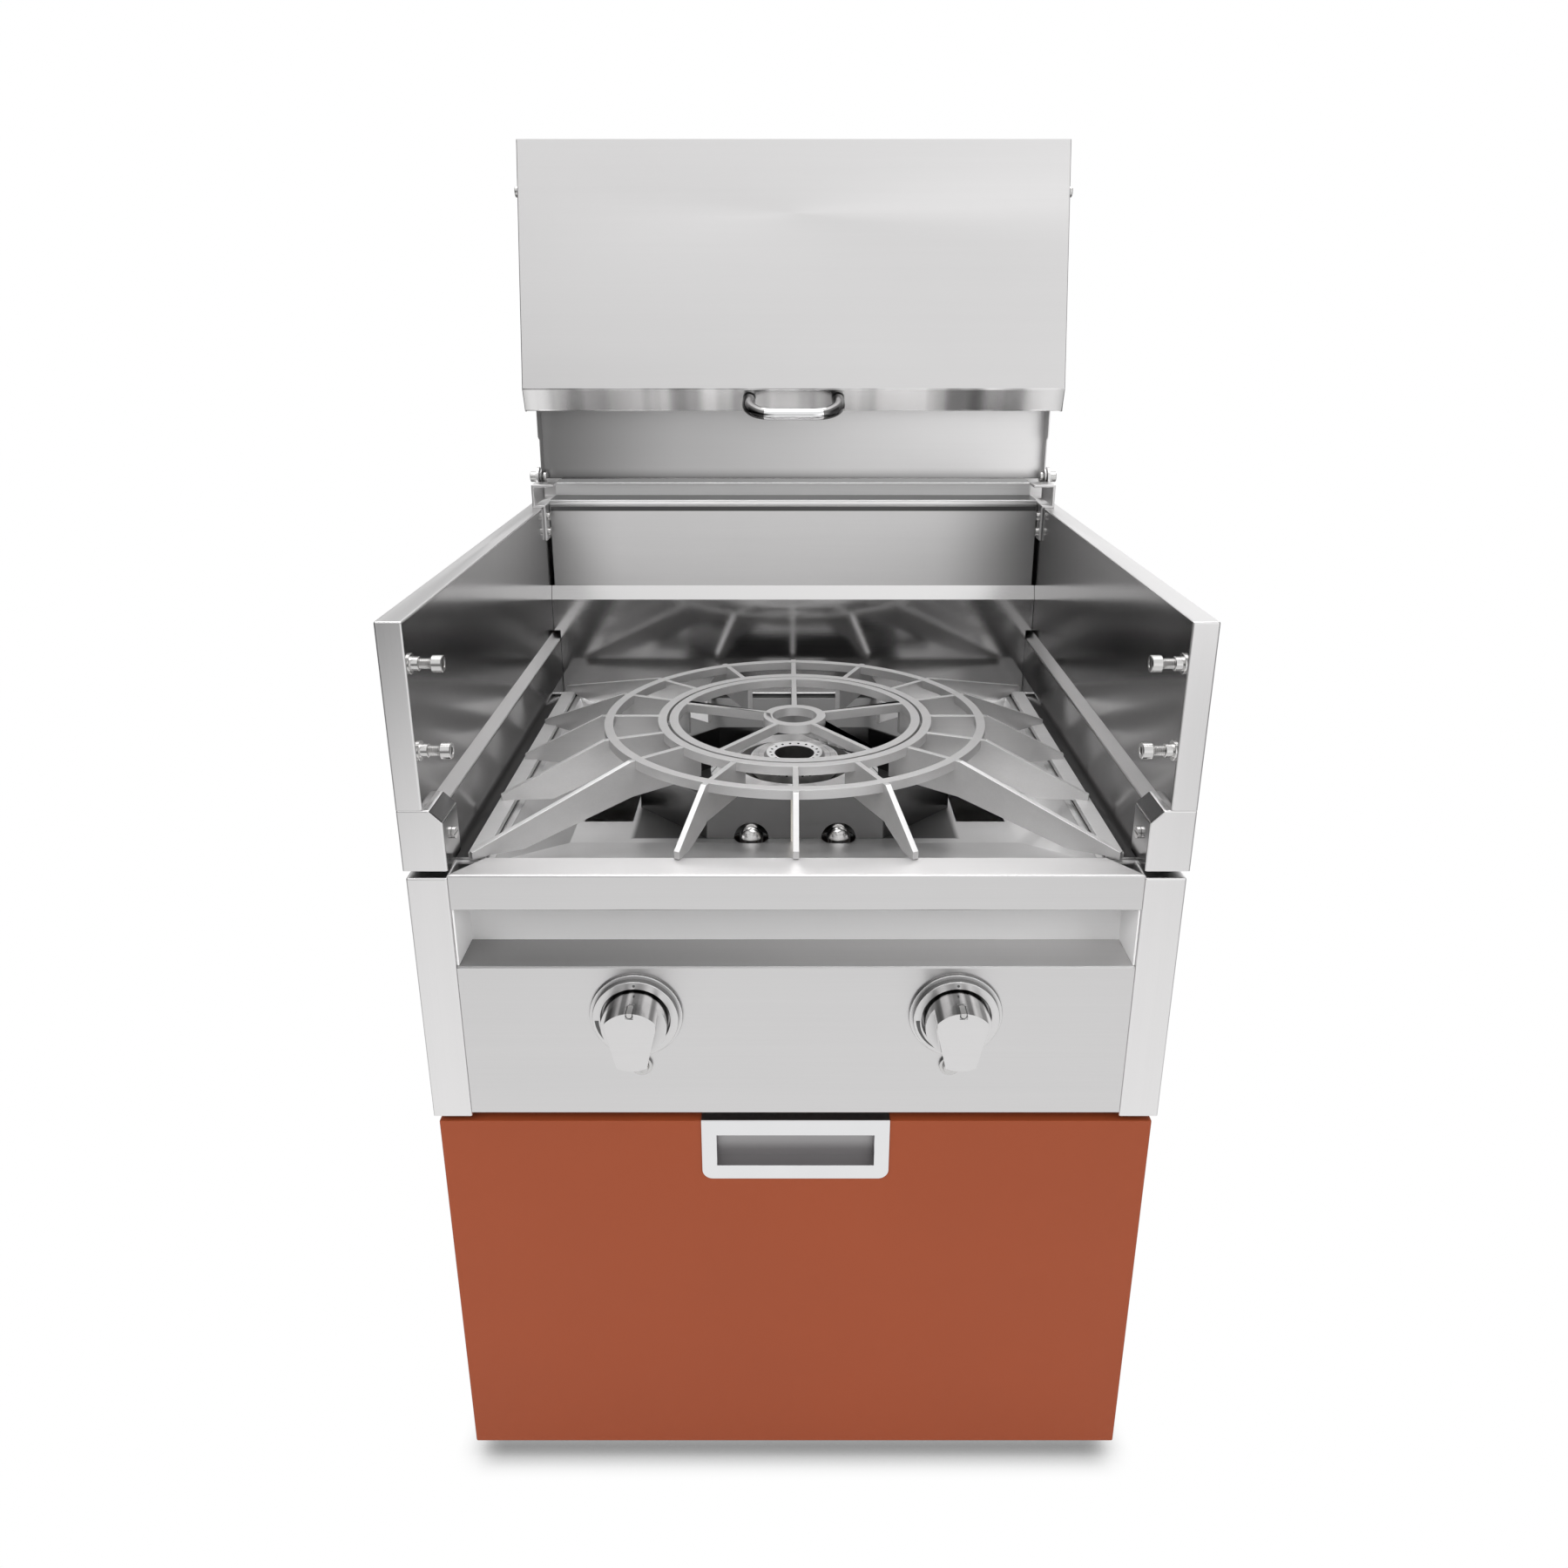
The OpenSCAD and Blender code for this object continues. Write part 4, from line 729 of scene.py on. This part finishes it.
class BURNER_OT_controls(PieceOperator, Operator):
    """Builds the knobs, their bezels and marks, the valve stems and the buttons."""

    bl_idname = "burner.controls"
    bl_label = "Knobs And Buttons"

    def execute(self, context):
        for side, sign in SIDES.items():
            self.knob(side, sign)
            fold_edges("valve_stem_" + side, "brass", 0.4 * MM, thin=0)
            self.marks(side, sign)
            self.inlay(side, sign)
            self.button(side, sign)
        bezels = fold_edges("knob_bezels", "ring", 0.8 * MM, thin=0)
        tone(bezels, "grip", lambda at, way: way.y < -FACING)
        # The bezels' sides take the painted shade
        tone(bezels, "dusk", lambda at, way: abs(way.y) < 0.3)
        rings = fold_edges("button_bezels", "screw", 0.5 * MM, thin=0)
        # The button bezels' sides take the painted shade
        tone(rings, "dusk", lambda at, way: abs(way.y) < 0.3)
        return {"FINISHED"}

    def knob(self, side, sign):
        """A turned drum with a flat grip. The grip's flank towards the middle is painted darker as shade.
        """
        below = KNOB_AT.z - 1 * MM
        piece = fold_edges("knob_" + side, "knob", 0.9 * MM, thin=0, name=side + "_turned_knob")
        tone(piece, "grip", lambda at, way: way.y < -FACING)
        # The flank towards the middle takes the painted shade
        tone(piece, "dusk", lambda at, way: -sign * way.x > 0.4 and at.z < below and abs(way.y) < 0.3)

    def marks(self, side, sign):
        """A dot over the knob, and an arc beside it that widens towards high."""
        middle, dot, half_width, narrowing = 31.3 * MM, 1.1 * MM, 1.6 * MM, 0.06 * MM
        sink, film = -0.1 * MM, 0.15 * MM
        first, step, count = math.radians(182), math.radians(2.5), 25
        face = corner("knob_bezels", False).y
        place = upright(Vector((sign * KNOB_AT.x, face - film, KNOB_AT.z)))
        arc = [(first + step * k, half_width - narrowing * k) for k in range(count)]
        edges = [(turn, middle + half) for turn, half in arc]
        edges += [(turn, middle - half) for turn, half in reversed(arc)]
        bm = bmesh.new()
        slab(bm, [(x, middle + z) for x, z in circle(dot, 12)], sink, film, place)
        slab(bm, [(r * math.cos(turn), r * math.sin(turn)) for turn, r in edges], sink, film, place)
        settle(side + "_bezel_marks", bm, "print", "frame")

    def inlay(self, side, sign):
        """A pale inlay in the knob's slot, over the edge from the face back along the drum."""
        node = "knob_" + side
        low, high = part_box(node)
        r = (high.z - low.z) / 2 / MM
        at = Vector((sign * KNOB_AT.x, low.y, (low.z + high.z) / 2))
        tip_share, tip_length, edge = 0.45, 1.4, 0.4
        for name, finish, half, back, foot, sink, drop in (
                ("slot", "print", 2.97, 13.95, 4.95, 0.92, 1.12),
                ("inlay", "screw", 2.1, 12.6, 3.9, 0.3, 0.45)):
            tip, top = half * tip_share, r - drop
            path = [(tip, sink, r - foot), (half, sink, r - foot + tip_length), (half, sink, top - edge),
                    (half, sink + edge, top), (half, back - tip_length, top), (tip, back, top)]
            bm = bmesh.new()
            rows = [[bm.verts.new(at + Vector((x, y, z)) * MM) for x in (-w, w)] for w, y, z in path]
            for a, b in zip(rows, rows[1:]):
                bm.faces.new((a[0], a[1], b[1], b[0]))
            settle(f"{side}_knob_{name}", bm, finish, body_of_node(node))

    def button(self, side, sign):
        """A round button with a dished face."""
        node = "button_" + side
        low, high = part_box(node)
        r, long = (high.x - low.x) / 2, high.y - low.y
        rings = [
            (0, 0.9 * MM), (r * 0.55, 0.5 * MM), (r * 0.8, 0), (r - 0.5 * MM, 0.1 * MM), (r, 0.7 * MM),
            (r, long), (0, long)]
        bm = bmesh.new()
        lathe(bm, rings, 48, aim((sign * BUTTON_AT.x, low.y, BUTTON_AT.z), (0, 1, 0)))
        settle(side + "_push_button", bm, "screw", body_of_node(node), (node,))


class BURNER_OT_head(PieceOperator, Operator):
    """Builds the side beams, corner blocks, wind panels and their screws."""

    bl_idname = "burner.head"
    bl_label = "Burner Head"

    def execute(self, context):
        for side, sign in SIDES.items():
            self.beam(side, -sign)
            self.block(side, -sign)
            self.wind_panel(side, -sign)
        self.cap_screws()
        fold_edges("bracket_screws", "screw", 0.3 * MM, thin=0)
        return {"FINISHED"}

    def beam(self, side, inward):
        """The side beam, painted darker as shade where it faces the pan."""
        piece = fold_edges("head_side_" + side, "flank")
        edge = max(inward * v.co.x for v in piece.data.vertices) - 20 * MM
        tone(piece, "deep", lambda at, way: inward * way.x > 0.5 and way.z < 0.3 or inward * at.x > edge)

    def block(self, side, inward):
        """The corner block, with a polished inner side painted darker as shade and a chamfer painted
        near-black as shade and reflection.
        """
        piece = fold_edges("corner_block_" + side, "upright")
        tone(piece, "inner", lambda at, way: inward * way.x > FACING and way.z < 0.3)
        tone(piece, "jet", lambda at, way: inward * way.x > 0.4 and way.z > 0.4)

    def wind_panel(self, side, inward):
        """The panel's inner skin is polished and painted darker as shade, its outside is brushed."""
        piece = fold_edges("wind_panel_" + side, "flank")
        skin_x = max(inward * v.co.x for v in piece.data.vertices) - 0.2 * MM
        tone(piece, "inner", lambda at, way: inward * at.x > skin_x and abs(way.x) > FACING)
        tone(piece, "upright", lambda at, way: way.y < -FACING)

    def cap_screws(self):
        """Four socket screws that point inwards: washer, nut, threaded shank and head."""
        low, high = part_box("guard_screws")
        washer_radius = 8 * MM
        y = (low.y + high.y) / 2
        inner = corner("wind_panel_right", False).x
        tail, washer = in_mm((0, -5), (4, -5), (4, 0)), in_mm((8, 0), (8, 1.2), (7.7, 1.5))
        nut = in_mm((5.5, 1.5), (5.5, 7), (5.1, 7.4), (3.6, 7.5))
        shank = thread(4 * MM, 3.55 * MM, 7.5 * MM, 1.15 * MM, 8, 0.5 * MM, 1 * MM)
        head = in_mm((3.6, 17), (6.1, 17), (6.5, 17.4), (6.5, 24.4), (5.9, 25), (3.2, 25), (3, 24.6),
                     (3, 21), (0, 20.2))
        rings = tail + washer + nut + shank + head
        for side, sign in SIDES.items():
            for spot, z in (("lower", low.z + washer_radius), ("upper", high.z - washer_radius)):
                bm = bmesh.new()
                lathe(bm, rings, 36, aim((sign * inner, y, z), (-sign, 0, 0)))
                name = f"{side}_{spot}_cap_screw"
                stands = ("guard_screws",) if name == "left_lower_cap_screw" else ()
                settle(name, bm, "screw", "frame", stands)


class BURNER_OT_back(PieceOperator, Operator):
    """Builds the back wall, its trim and the hinge brackets."""

    bl_idname = "burner.back"
    bl_label = "Back Wall And Hinges"

    def execute(self, context):
        # The lower back wall takes the smooth copy of the steel painted darker as shade
        lower = fold_edges("back_wall_lower", "mirror")
        # Faces tilted up take the ledge's painted highlight
        tone(lower, "ledge", lambda at, way: 0.2 < way.z < 0.6)
        # The upper back wall is painted darker towards both ends as shade
        fold_edges("back_wall_upper", "back", 0.5 * MM)
        self.reveal()
        trim = fold_edges("back_top_trim", "band")
        # The trim's top faces take the painted shade
        tone(trim, "gap", lambda at, way: way.z > FACING)
        for side in SIDES:
            fold_edges("hinge_bracket_" + side, "front", 0.8 * MM, thin=2.2 * MM)
        fold_edges("lower_pivot_bolts", "screw", 0.8 * MM, thin=0)
        return {"FINISHED"}

    def reveal(self):
        """A dark strip of painted shade under the rolled hem of the back wall."""
        low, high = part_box("back_wall_upper")
        end_gap, hem, height, inset = 1 * MM, 6.2 * MM, 5 * MM, 2.2 * MM
        left, right, top = low.x + end_gap, high.x - end_gap, high.z - hem
        outline = [(left, top - height), (right, top - height), (right, top), (left, top)]
        bm = bmesh.new()
        slab(bm, outline, -0.2 * MM, 0.15 * MM, upright(Vector((0, low.y + inset, 0))))
        settle("hem_shade_strip", bm, "gap", "frame")


class BURNER_OT_cover(PieceOperator, Operator):
    """Builds the cover's two leaves, their pivots, bumpers and handle."""

    bl_idname = "burner.cover"
    bl_label = "Folding Cover"

    def execute(self, context):
        # The rear leaf is painted paler, and darker towards its left end and its foot
        fold_edges("lid_rear_leaf", "leaf", thin=2.0 * MM)
        self.front_leaf()
        fold_edges("upper_pivot_bolts", "screw", 0.8 * MM, thin=0)
        fold_edges("lid_bumpers", "rubber", 0.8 * MM, thin=0)
        self.handle(context.scene.burner_handle)
        return {"FINISHED"}

    def front_leaf(self):
        """The lip below the bend is polished, with painted reflection bands; the face above it is brushed.
        """
        bend = corner("lid_front_leaf", False).z + 30 * MM
        piece = fold_edges("lid_front_leaf", "cover", thin=2.0 * MM)
        tone(piece, "lip", lambda at, way: at.z < bend and way.y < -0.2 and way.z < 0.1)

    def handle(self, settings):
        """A bow: a round bar that grows thicker towards its feet, on a screwed disc at each foot."""
        half, reach, turn, bar, steps = 49 * MM, 40 * MM, 27 * MM, 6 * MM, 28
        horn_start = 33 * MM
        lean = math.radians(17.6)
        out = Vector((0, -math.cos(lean), -math.sin(lean)))
        up = out.cross(Vector((1, 0, 0))).normalized()
        foot = self.foot_line(out, up)
        arc = [math.radians(180 - 9 * k) for k in range(1, 10)]
        path = [(-half, 0), (-half, reach - turn)]
        path += [(turn - half + turn * math.cos(a), reach - turn + turn * math.sin(a)) for a in arc]
        path += [((half - turn) * k / 12, reach) for k in range(-12, 13)]
        path += [(-x, y) for x, y in reversed(path[:2 + len(arc)])]
        spots = [foot + Vector((x, 0, 0)) + out * y for x, y in path]
        bm = bmesh.new()
        rings = []
        for k, spot in enumerate(spots):
            way = (spots[min(k + 1, len(spots) - 1)] - spots[max(k - 1, 0)]).normalized()
            side = way.cross(up).normalized()
            r = bar * (1 + settings.swell * min(1, abs(spot.x) / half) ** 3)
            rings.append([bm.verts.new(spot + side * a + up * b) for a, b in circle(r, steps)])
        wrap(bm, rings, steps)
        bm.faces.new(rings[0])
        bm.faces.new(rings[-1][::-1])
        disc = in_mm((0, -1), (2.4, -1), (2.4, -1.3), (4.3, -1.3), (4.3, -3.6), (3, -4.1), (0, -4.1))
        for sign in (-1, 1):
            lathe(bm, disc, 24, aim(foot + Vector((sign * half, 0, 0)), out))
        bow = settle("bow_handle", bm, "chrome", "cover_front", ("lid_handle",))
        # The handle's feet take the darker chrome as painted shade
        tone(bow, "horn", lambda at, way: abs(at.x) > horn_start)

    def foot_line(self, out, up):
        """The middle of the handle's feet on the lip, from the CAD handle's own points."""
        foot_depth, lip_depth = 9 * MM, 8.2 * MM
        points = [v.co for v in frame["nodes"]["lid_handle"].data.vertices]
        deepest = max(-p.dot(out) for p in points)
        feet = [p for p in points if -p.dot(out) > deepest - foot_depth]
        level = sum(p.dot(up) for p in feet) / len(feet)
        return out * (lip_depth - deepest) + up * level


class BURNER_OT_grate(PieceOperator, Operator):
    """Builds the wok grate and its loose centre."""

    bl_idname = "burner.grate"
    bl_label = "Grate"

    def execute(self, context):
        within_rings = 184 * MM
        for node in ("wok_grate", "centre_grate"):
            grate = fold_edges(node, "plate", 0.5 * MM, thin=2.2 * MM, steps=2)
            # Painted shade on the rings and on the blades' sides, and painted light on the tops
            tone(grate, "rim", lambda at, way: from_burner(at) < within_rings)
            tone(grate, "blade", lambda at, way: way.z < 0.5)
        return {"FINISHED"}


class BURNER_OT_burners(PieceOperator, Operator):
    """Builds the pan, the box round the burner and the two burners with their ports."""

    bl_idname = "burner.burners"
    bl_label = "Burners"

    def execute(self, context):
        fold_edges("burner_pan", "pan", 1.0 * MM, thin=2.0 * MM)
        # The burner box takes the near-black painted shade
        fold_edges("burner_box", "box", 1.2 * MM, thin=2.0 * MM)
        base = fold_edges("burner_base", "iron", 0.6 * MM, thin=0)
        mouths = corner("burner_box", False).y + 14 * MM
        tone(base, "screw", lambda at, way: at.y < mouths)
        fold_edges("spark_electrode", "ceramic", 0.3 * MM, thin=0)
        self.outer_burner()
        self.inner_burner(context.scene.burner_ports)
        return {"FINISHED"}

    def outer_burner(self):
        """The sloped rim is painted bright as a highlight, and the slots cut in it are painted dark as
        shade.
        """
        slot_length, slot_depth = 6.6 * MM, 8.2 * MM
        ring = fold_edges("outer_burner", "burner", 0.3 * MM, thin=0)
        low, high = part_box("outer_burner")
        inside = (high.x - low.x) / 2 - slot_length
        tone(ring, "bright_rim", lambda at, way: 0.3 < way.z < FACING)
        tone(ring, "shadow", lambda at, way: self.in_slot(at, way, inside, high.z - slot_depth))

    def in_slot(self, at, way, inside, floor):
        """Tells a slot's walls, back and floor from the ring's own faces."""
        out = Vector((at.x - BURNER_AT.x, at.y - BURNER_AT.y, 0))
        if out.length < inside or at.z < floor:
            return False
        across = abs(way.x * out.y - way.y * out.x) / out.length
        low_face = way.z > FACING and at.z < floor + 1 * MM
        back_face = abs(way.z) < 0.1 and out.length < inside + 0.4 * MM
        return across > FACING or low_face or back_face

    def inner_burner(self, settings):
        """A disc whose ring of ports is painted bright as a highlight round a bore painted dark as shade,
        and a row of ports round its side.
        """
        low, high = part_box("inner_burner")
        top = high.z - low.z
        place = Matrix.Translation((BURNER_AT.x, BURNER_AT.y, low.z))
        bore, port_face, rim = 19 * MM, 27.6 * MM, 43 * MM
        skirt = in_mm((19, 0), (39, 0), (42.6, 3.4), (43, 4))
        # The disc's upper side, as a radius and how far it lies below the top
        face = in_mm((43, 5.4), (42.5, 4.2), (41, 3.1), (36, 3), (35.6, 3.4), (34.8, 3.4), (34.4, 3),
                     (30.2, 3), (29.6, 2.8), (27.6, 0.3), (27.2, 0), (26.4, 0), (20.2, 1), (19.4, 1.2),
                     (19, 1.8))
        bm = bmesh.new()
        lathe(bm, [*skirt, *[(r, top - drop) for r, drop in face], (bore, 0)], 96, place)
        cap = settle("inner_burner_cap", bm, "burner", "frame", ("inner_burner",))
        # Painted highlight: the ring of ports round the bore
        tone(cap, "bright_rim", lambda at, way: from_burner(at) < port_face and way.z > 0.2)
        # Painted shade: the bore's walls take the dark casting finish
        tone(cap, "iron", lambda at, way: from_burner(at) < bore + 0.6 * MM and way.z < FACING)
        # Painted highlight: the disc's outer edge
        tone(cap, "bright_rim", lambda at, way: from_burner(at) > rim - 1.8 * MM and at.z > high.z - 6 * MM)
        hole = in_mm((0, -0.5), (1.25, -0.5), (1.25, 0.12), (0, 0.12))
        port_ring, side_drop = 23.4 * MM, 8 * MM
        top_hole = Matrix.Translation((port_ring, 0, top - 0.5 * MM)) @ Matrix.Rotation(-0.15, 4, "Y")
        side_hole = Matrix.Translation((rim, 0, top - side_drop)) @ Matrix.Rotation(math.pi / 2, 4, "Y")
        bm = bmesh.new()
        for count, spot in ((settings.inner_ports, top_hole), (settings.side_ports, side_hole)):
            for k in range(count):
                lathe(bm, hole, 12, place @ Matrix.Rotation(math.tau * k / count, 4, "Z") @ spot)
        # Painted shade: the ports are near-black discs, not cut holes
        settle("inner_port_holes", bm, "shadow", "frame")


class BURNER_OT_gas(PieceOperator, Operator):
    """Builds the manifold, valves and inlet."""

    bl_idname = "burner.gas"
    bl_label = "Gas Train"

    def execute(self, context):
        fold_edges("gas_manifold", "zinc", 0.8 * MM, thin=0)
        fold_edges("valve_bodies", "brass", 0.8 * MM, thin=0)
        self.inlet()
        return {"FINISHED"}

    def inlet(self):
        """The gas inlet: a flare thread, a hexagon and the pipe up to the manifold."""
        low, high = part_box("gas_inlet")
        crest, root, pipe = 7.95 * MM, 7.15 * MM, 8 * MM
        hex_radius, hex_foot, hex_top = 11.9 * MM, 17.8 * MM, 27.6 * MM
        top = high.z - low.z
        flare = [
            *in_mm((0, 0), (5.5, 0), (7.2, 2)),
            *thread(crest, root, 2 * MM, 1.6 * MM, 8, 0.6 * MM, 1.3 * MM),
            (root, 15.5 * MM), (crest, 15.8 * MM), (crest, hex_foot), (0, hex_foot)]
        place = Matrix.Translation(((low.x + high.x) / 2, (low.y + high.y) / 2, low.z))
        bm = bmesh.new()
        lathe(bm, flare, 40, place)
        slab(bm, circle(hex_radius, 6), hex_foot, hex_top, place)
        lathe(bm, [(0, 27 * MM), (pipe, 27 * MM), (pipe, top), (0, top)], 32, place)
        settle("flare_inlet", bm, "brass", "frame", ("gas_inlet",))


class BURNER_OT_stage(PieceOperator, Operator):
    """Builds the floor, the lamps, the sky and the camera."""

    bl_idname = "burner.stage"
    bl_label = "Stage"

    def execute(self, context):
        settings = context.scene.burner_stage
        self.floor(tuple(settings.floor))
        self.sky()
        self.lamp("Key Softbox", (-1.6, -2.6, 3.0), (0, -0.1, 0.7), size=(2.6, 2.0), power=62)
        self.lamp("Fill Softbox", (2.4, -2.2, 2.2), (0, -0.1, 0.6), size=(2.2, 2.2), power=34)
        self.lamp("Top Softbox", (0, 0.3, 3.4), (0, 0, 0.6), size=(2.2, 2.2), power=46, glossy=True)
        self.camera(settings)
        context.scene.view_settings.view_transform = "Standard"
        return {"FINISHED"}

    def floor(self, colour):
        """White to the camera, darker only where the object shades it."""
        bm = bmesh.new()
        bmesh.ops.create_grid(bm, x_segments=24, y_segments=24, size=3)
        mesh = bpy.data.meshes.new("studio_floor")
        bm.to_mesh(mesh)
        bm.free()
        floor = bpy.data.objects.new("studio_floor", mesh)
        bpy.context.scene.collection.objects.link(floor)
        f = Finish("Studio Floor")
        x, y, _ = f.split(f.place())
        white = (1, 1, 1)
        open_sky = f.add("ShaderNodeAmbientOcclusion", {"samples": 32}, {"Distance": 0.032}, out=1)
        shadow = open_sky.ramp(0.45, 1.0, 0.17, 1.0)
        ahead = y.ramp(-0.1, -0.5) * abs(x).ramp(1.8, 0.7) * 0.62 + 0.26
        paper = f.blend(f.noise(0.6, 2.0), shade(colour, 0.985), colour)
        f.show(
            f.add("ShaderNodeBsdfDiffuse", inputs={"Color": paper}),
            glossy=f.add("ShaderNodeEmission", inputs={"Color": white, "Strength": ahead}),
            camera=f.add("ShaderNodeEmission", inputs={"Color": white, "Strength": shadow}))
        mesh.materials.append(f.material)

    def sky(self):
        """White to the camera. Steel sees a bright front and top, and dark sides."""
        world = bpy.data.worlds.new("Studio Sky")
        bpy.context.scene.world = world
        sky = Nodes(world, "ShaderNodeOutputWorld")
        x, _, z = sky.split(sky.add("ShaderNodeTexCoord", out="Generated"))
        level = z.ramp(0.5, 0.0) * x * 1.6 + z.ramp(-0.05, 0.45, 0.62, 0.92)
        sides = abs(x).ramp(0.9, 0.5, 0.1, 1.0)
        gloss = (level * sides).join("MAXIMUM", z.ramp(0.75, 0.95))
        soft, shiny, white = (
            sky.add("ShaderNodeBackground", inputs={"Color": (1, 1, 1), "Strength": strength})
            for strength in (0.42, gloss, 1.0))
        sky.show(soft, glossy=shiny, camera=white)

    def lamp(self, name, at, towards, size, power, glossy=False):
        """A softbox. Steel mirrors only a glossy one."""
        data = bpy.data.lights.new(name, "AREA")
        data.shape = "RECTANGLE"
        data.size, data.size_y = size
        data.energy = power
        lamp = bpy.data.objects.new(name, data)
        lamp.location = at
        lamp.rotation_euler = (Vector(towards) - Vector(at)).to_track_quat("-Z", "Y").to_euler()
        lamp.visible_glossy = glossy
        bpy.context.scene.collection.objects.link(lamp)

    def camera(self, settings):
        """The photograph's view, solved from corners of the fascia, the drawer and the wind panels."""
        aside, before_fascia, height = -0.0073, 0.7927, 1.038
        data = bpy.data.cameras.new("Photo Camera")
        data.sensor_width = 36
        data.lens = settings.lens
        data.shift_x, data.shift_y = -0.00189, -0.0601
        camera = bpy.data.objects.new("Photo Camera", data)
        camera.location = (aside, FASCIA_Y - before_fascia, height)
        camera.rotation_euler = (settings.tilt, 0, 0)
        bpy.context.scene.collection.objects.link(camera)
        bpy.context.scene.camera = camera


STEPS = (
    BURNER_OT_cabinet, BURNER_OT_drawer, BURNER_OT_fascia, BURNER_OT_controls, BURNER_OT_head,
    BURNER_OT_back, BURNER_OT_cover, BURNER_OT_grate, BURNER_OT_burners, BURNER_OT_gas, BURNER_OT_stage)
SETTINGS = {
    "burner_steel": SteelSettings, "burner_paint": PaintSettings, "burner_handle": HandleSettings,
    "burner_ports": BurnerSettings, "burner_stage": StageSettings}


class BURNER_PT_pieces(Panel):
    """Lists the pieces and their settings."""

    bl_label = "Power Burner"
    bl_space_type = "VIEW_3D"
    bl_region_type = "UI"
    bl_category = "Burner"

    def draw(self, context):
        column = self.layout.column(align=True)
        for step in STEPS:
            column.operator(step.bl_idname)
        for name, group in SETTINGS.items():
            box = self.layout.box()
            for prop in group.__annotations__:
                box.prop(getattr(context.scene, name), prop)


def register():
    for group in (*SETTINGS.values(), *STEPS, BURNER_PT_pieces):
        bpy.utils.register_class(group)
    for name, group in SETTINGS.items():
        setattr(bpy.types.Scene, name, PointerProperty(type=group))


def unregister():
    for name in SETTINGS:
        delattr(bpy.types.Scene, name)
    for group in (BURNER_PT_pieces, *STEPS, *SETTINGS.values()):
        bpy.utils.unregister_class(group)


def main():
    """Builds every piece in order."""
    register()
    mix_finishes(bpy.context.scene)
    for step in STEPS:
        group, name = step.bl_idname.split(".")
        getattr(getattr(bpy.ops, group), name)()


if __name__ == "__main__":
    main()
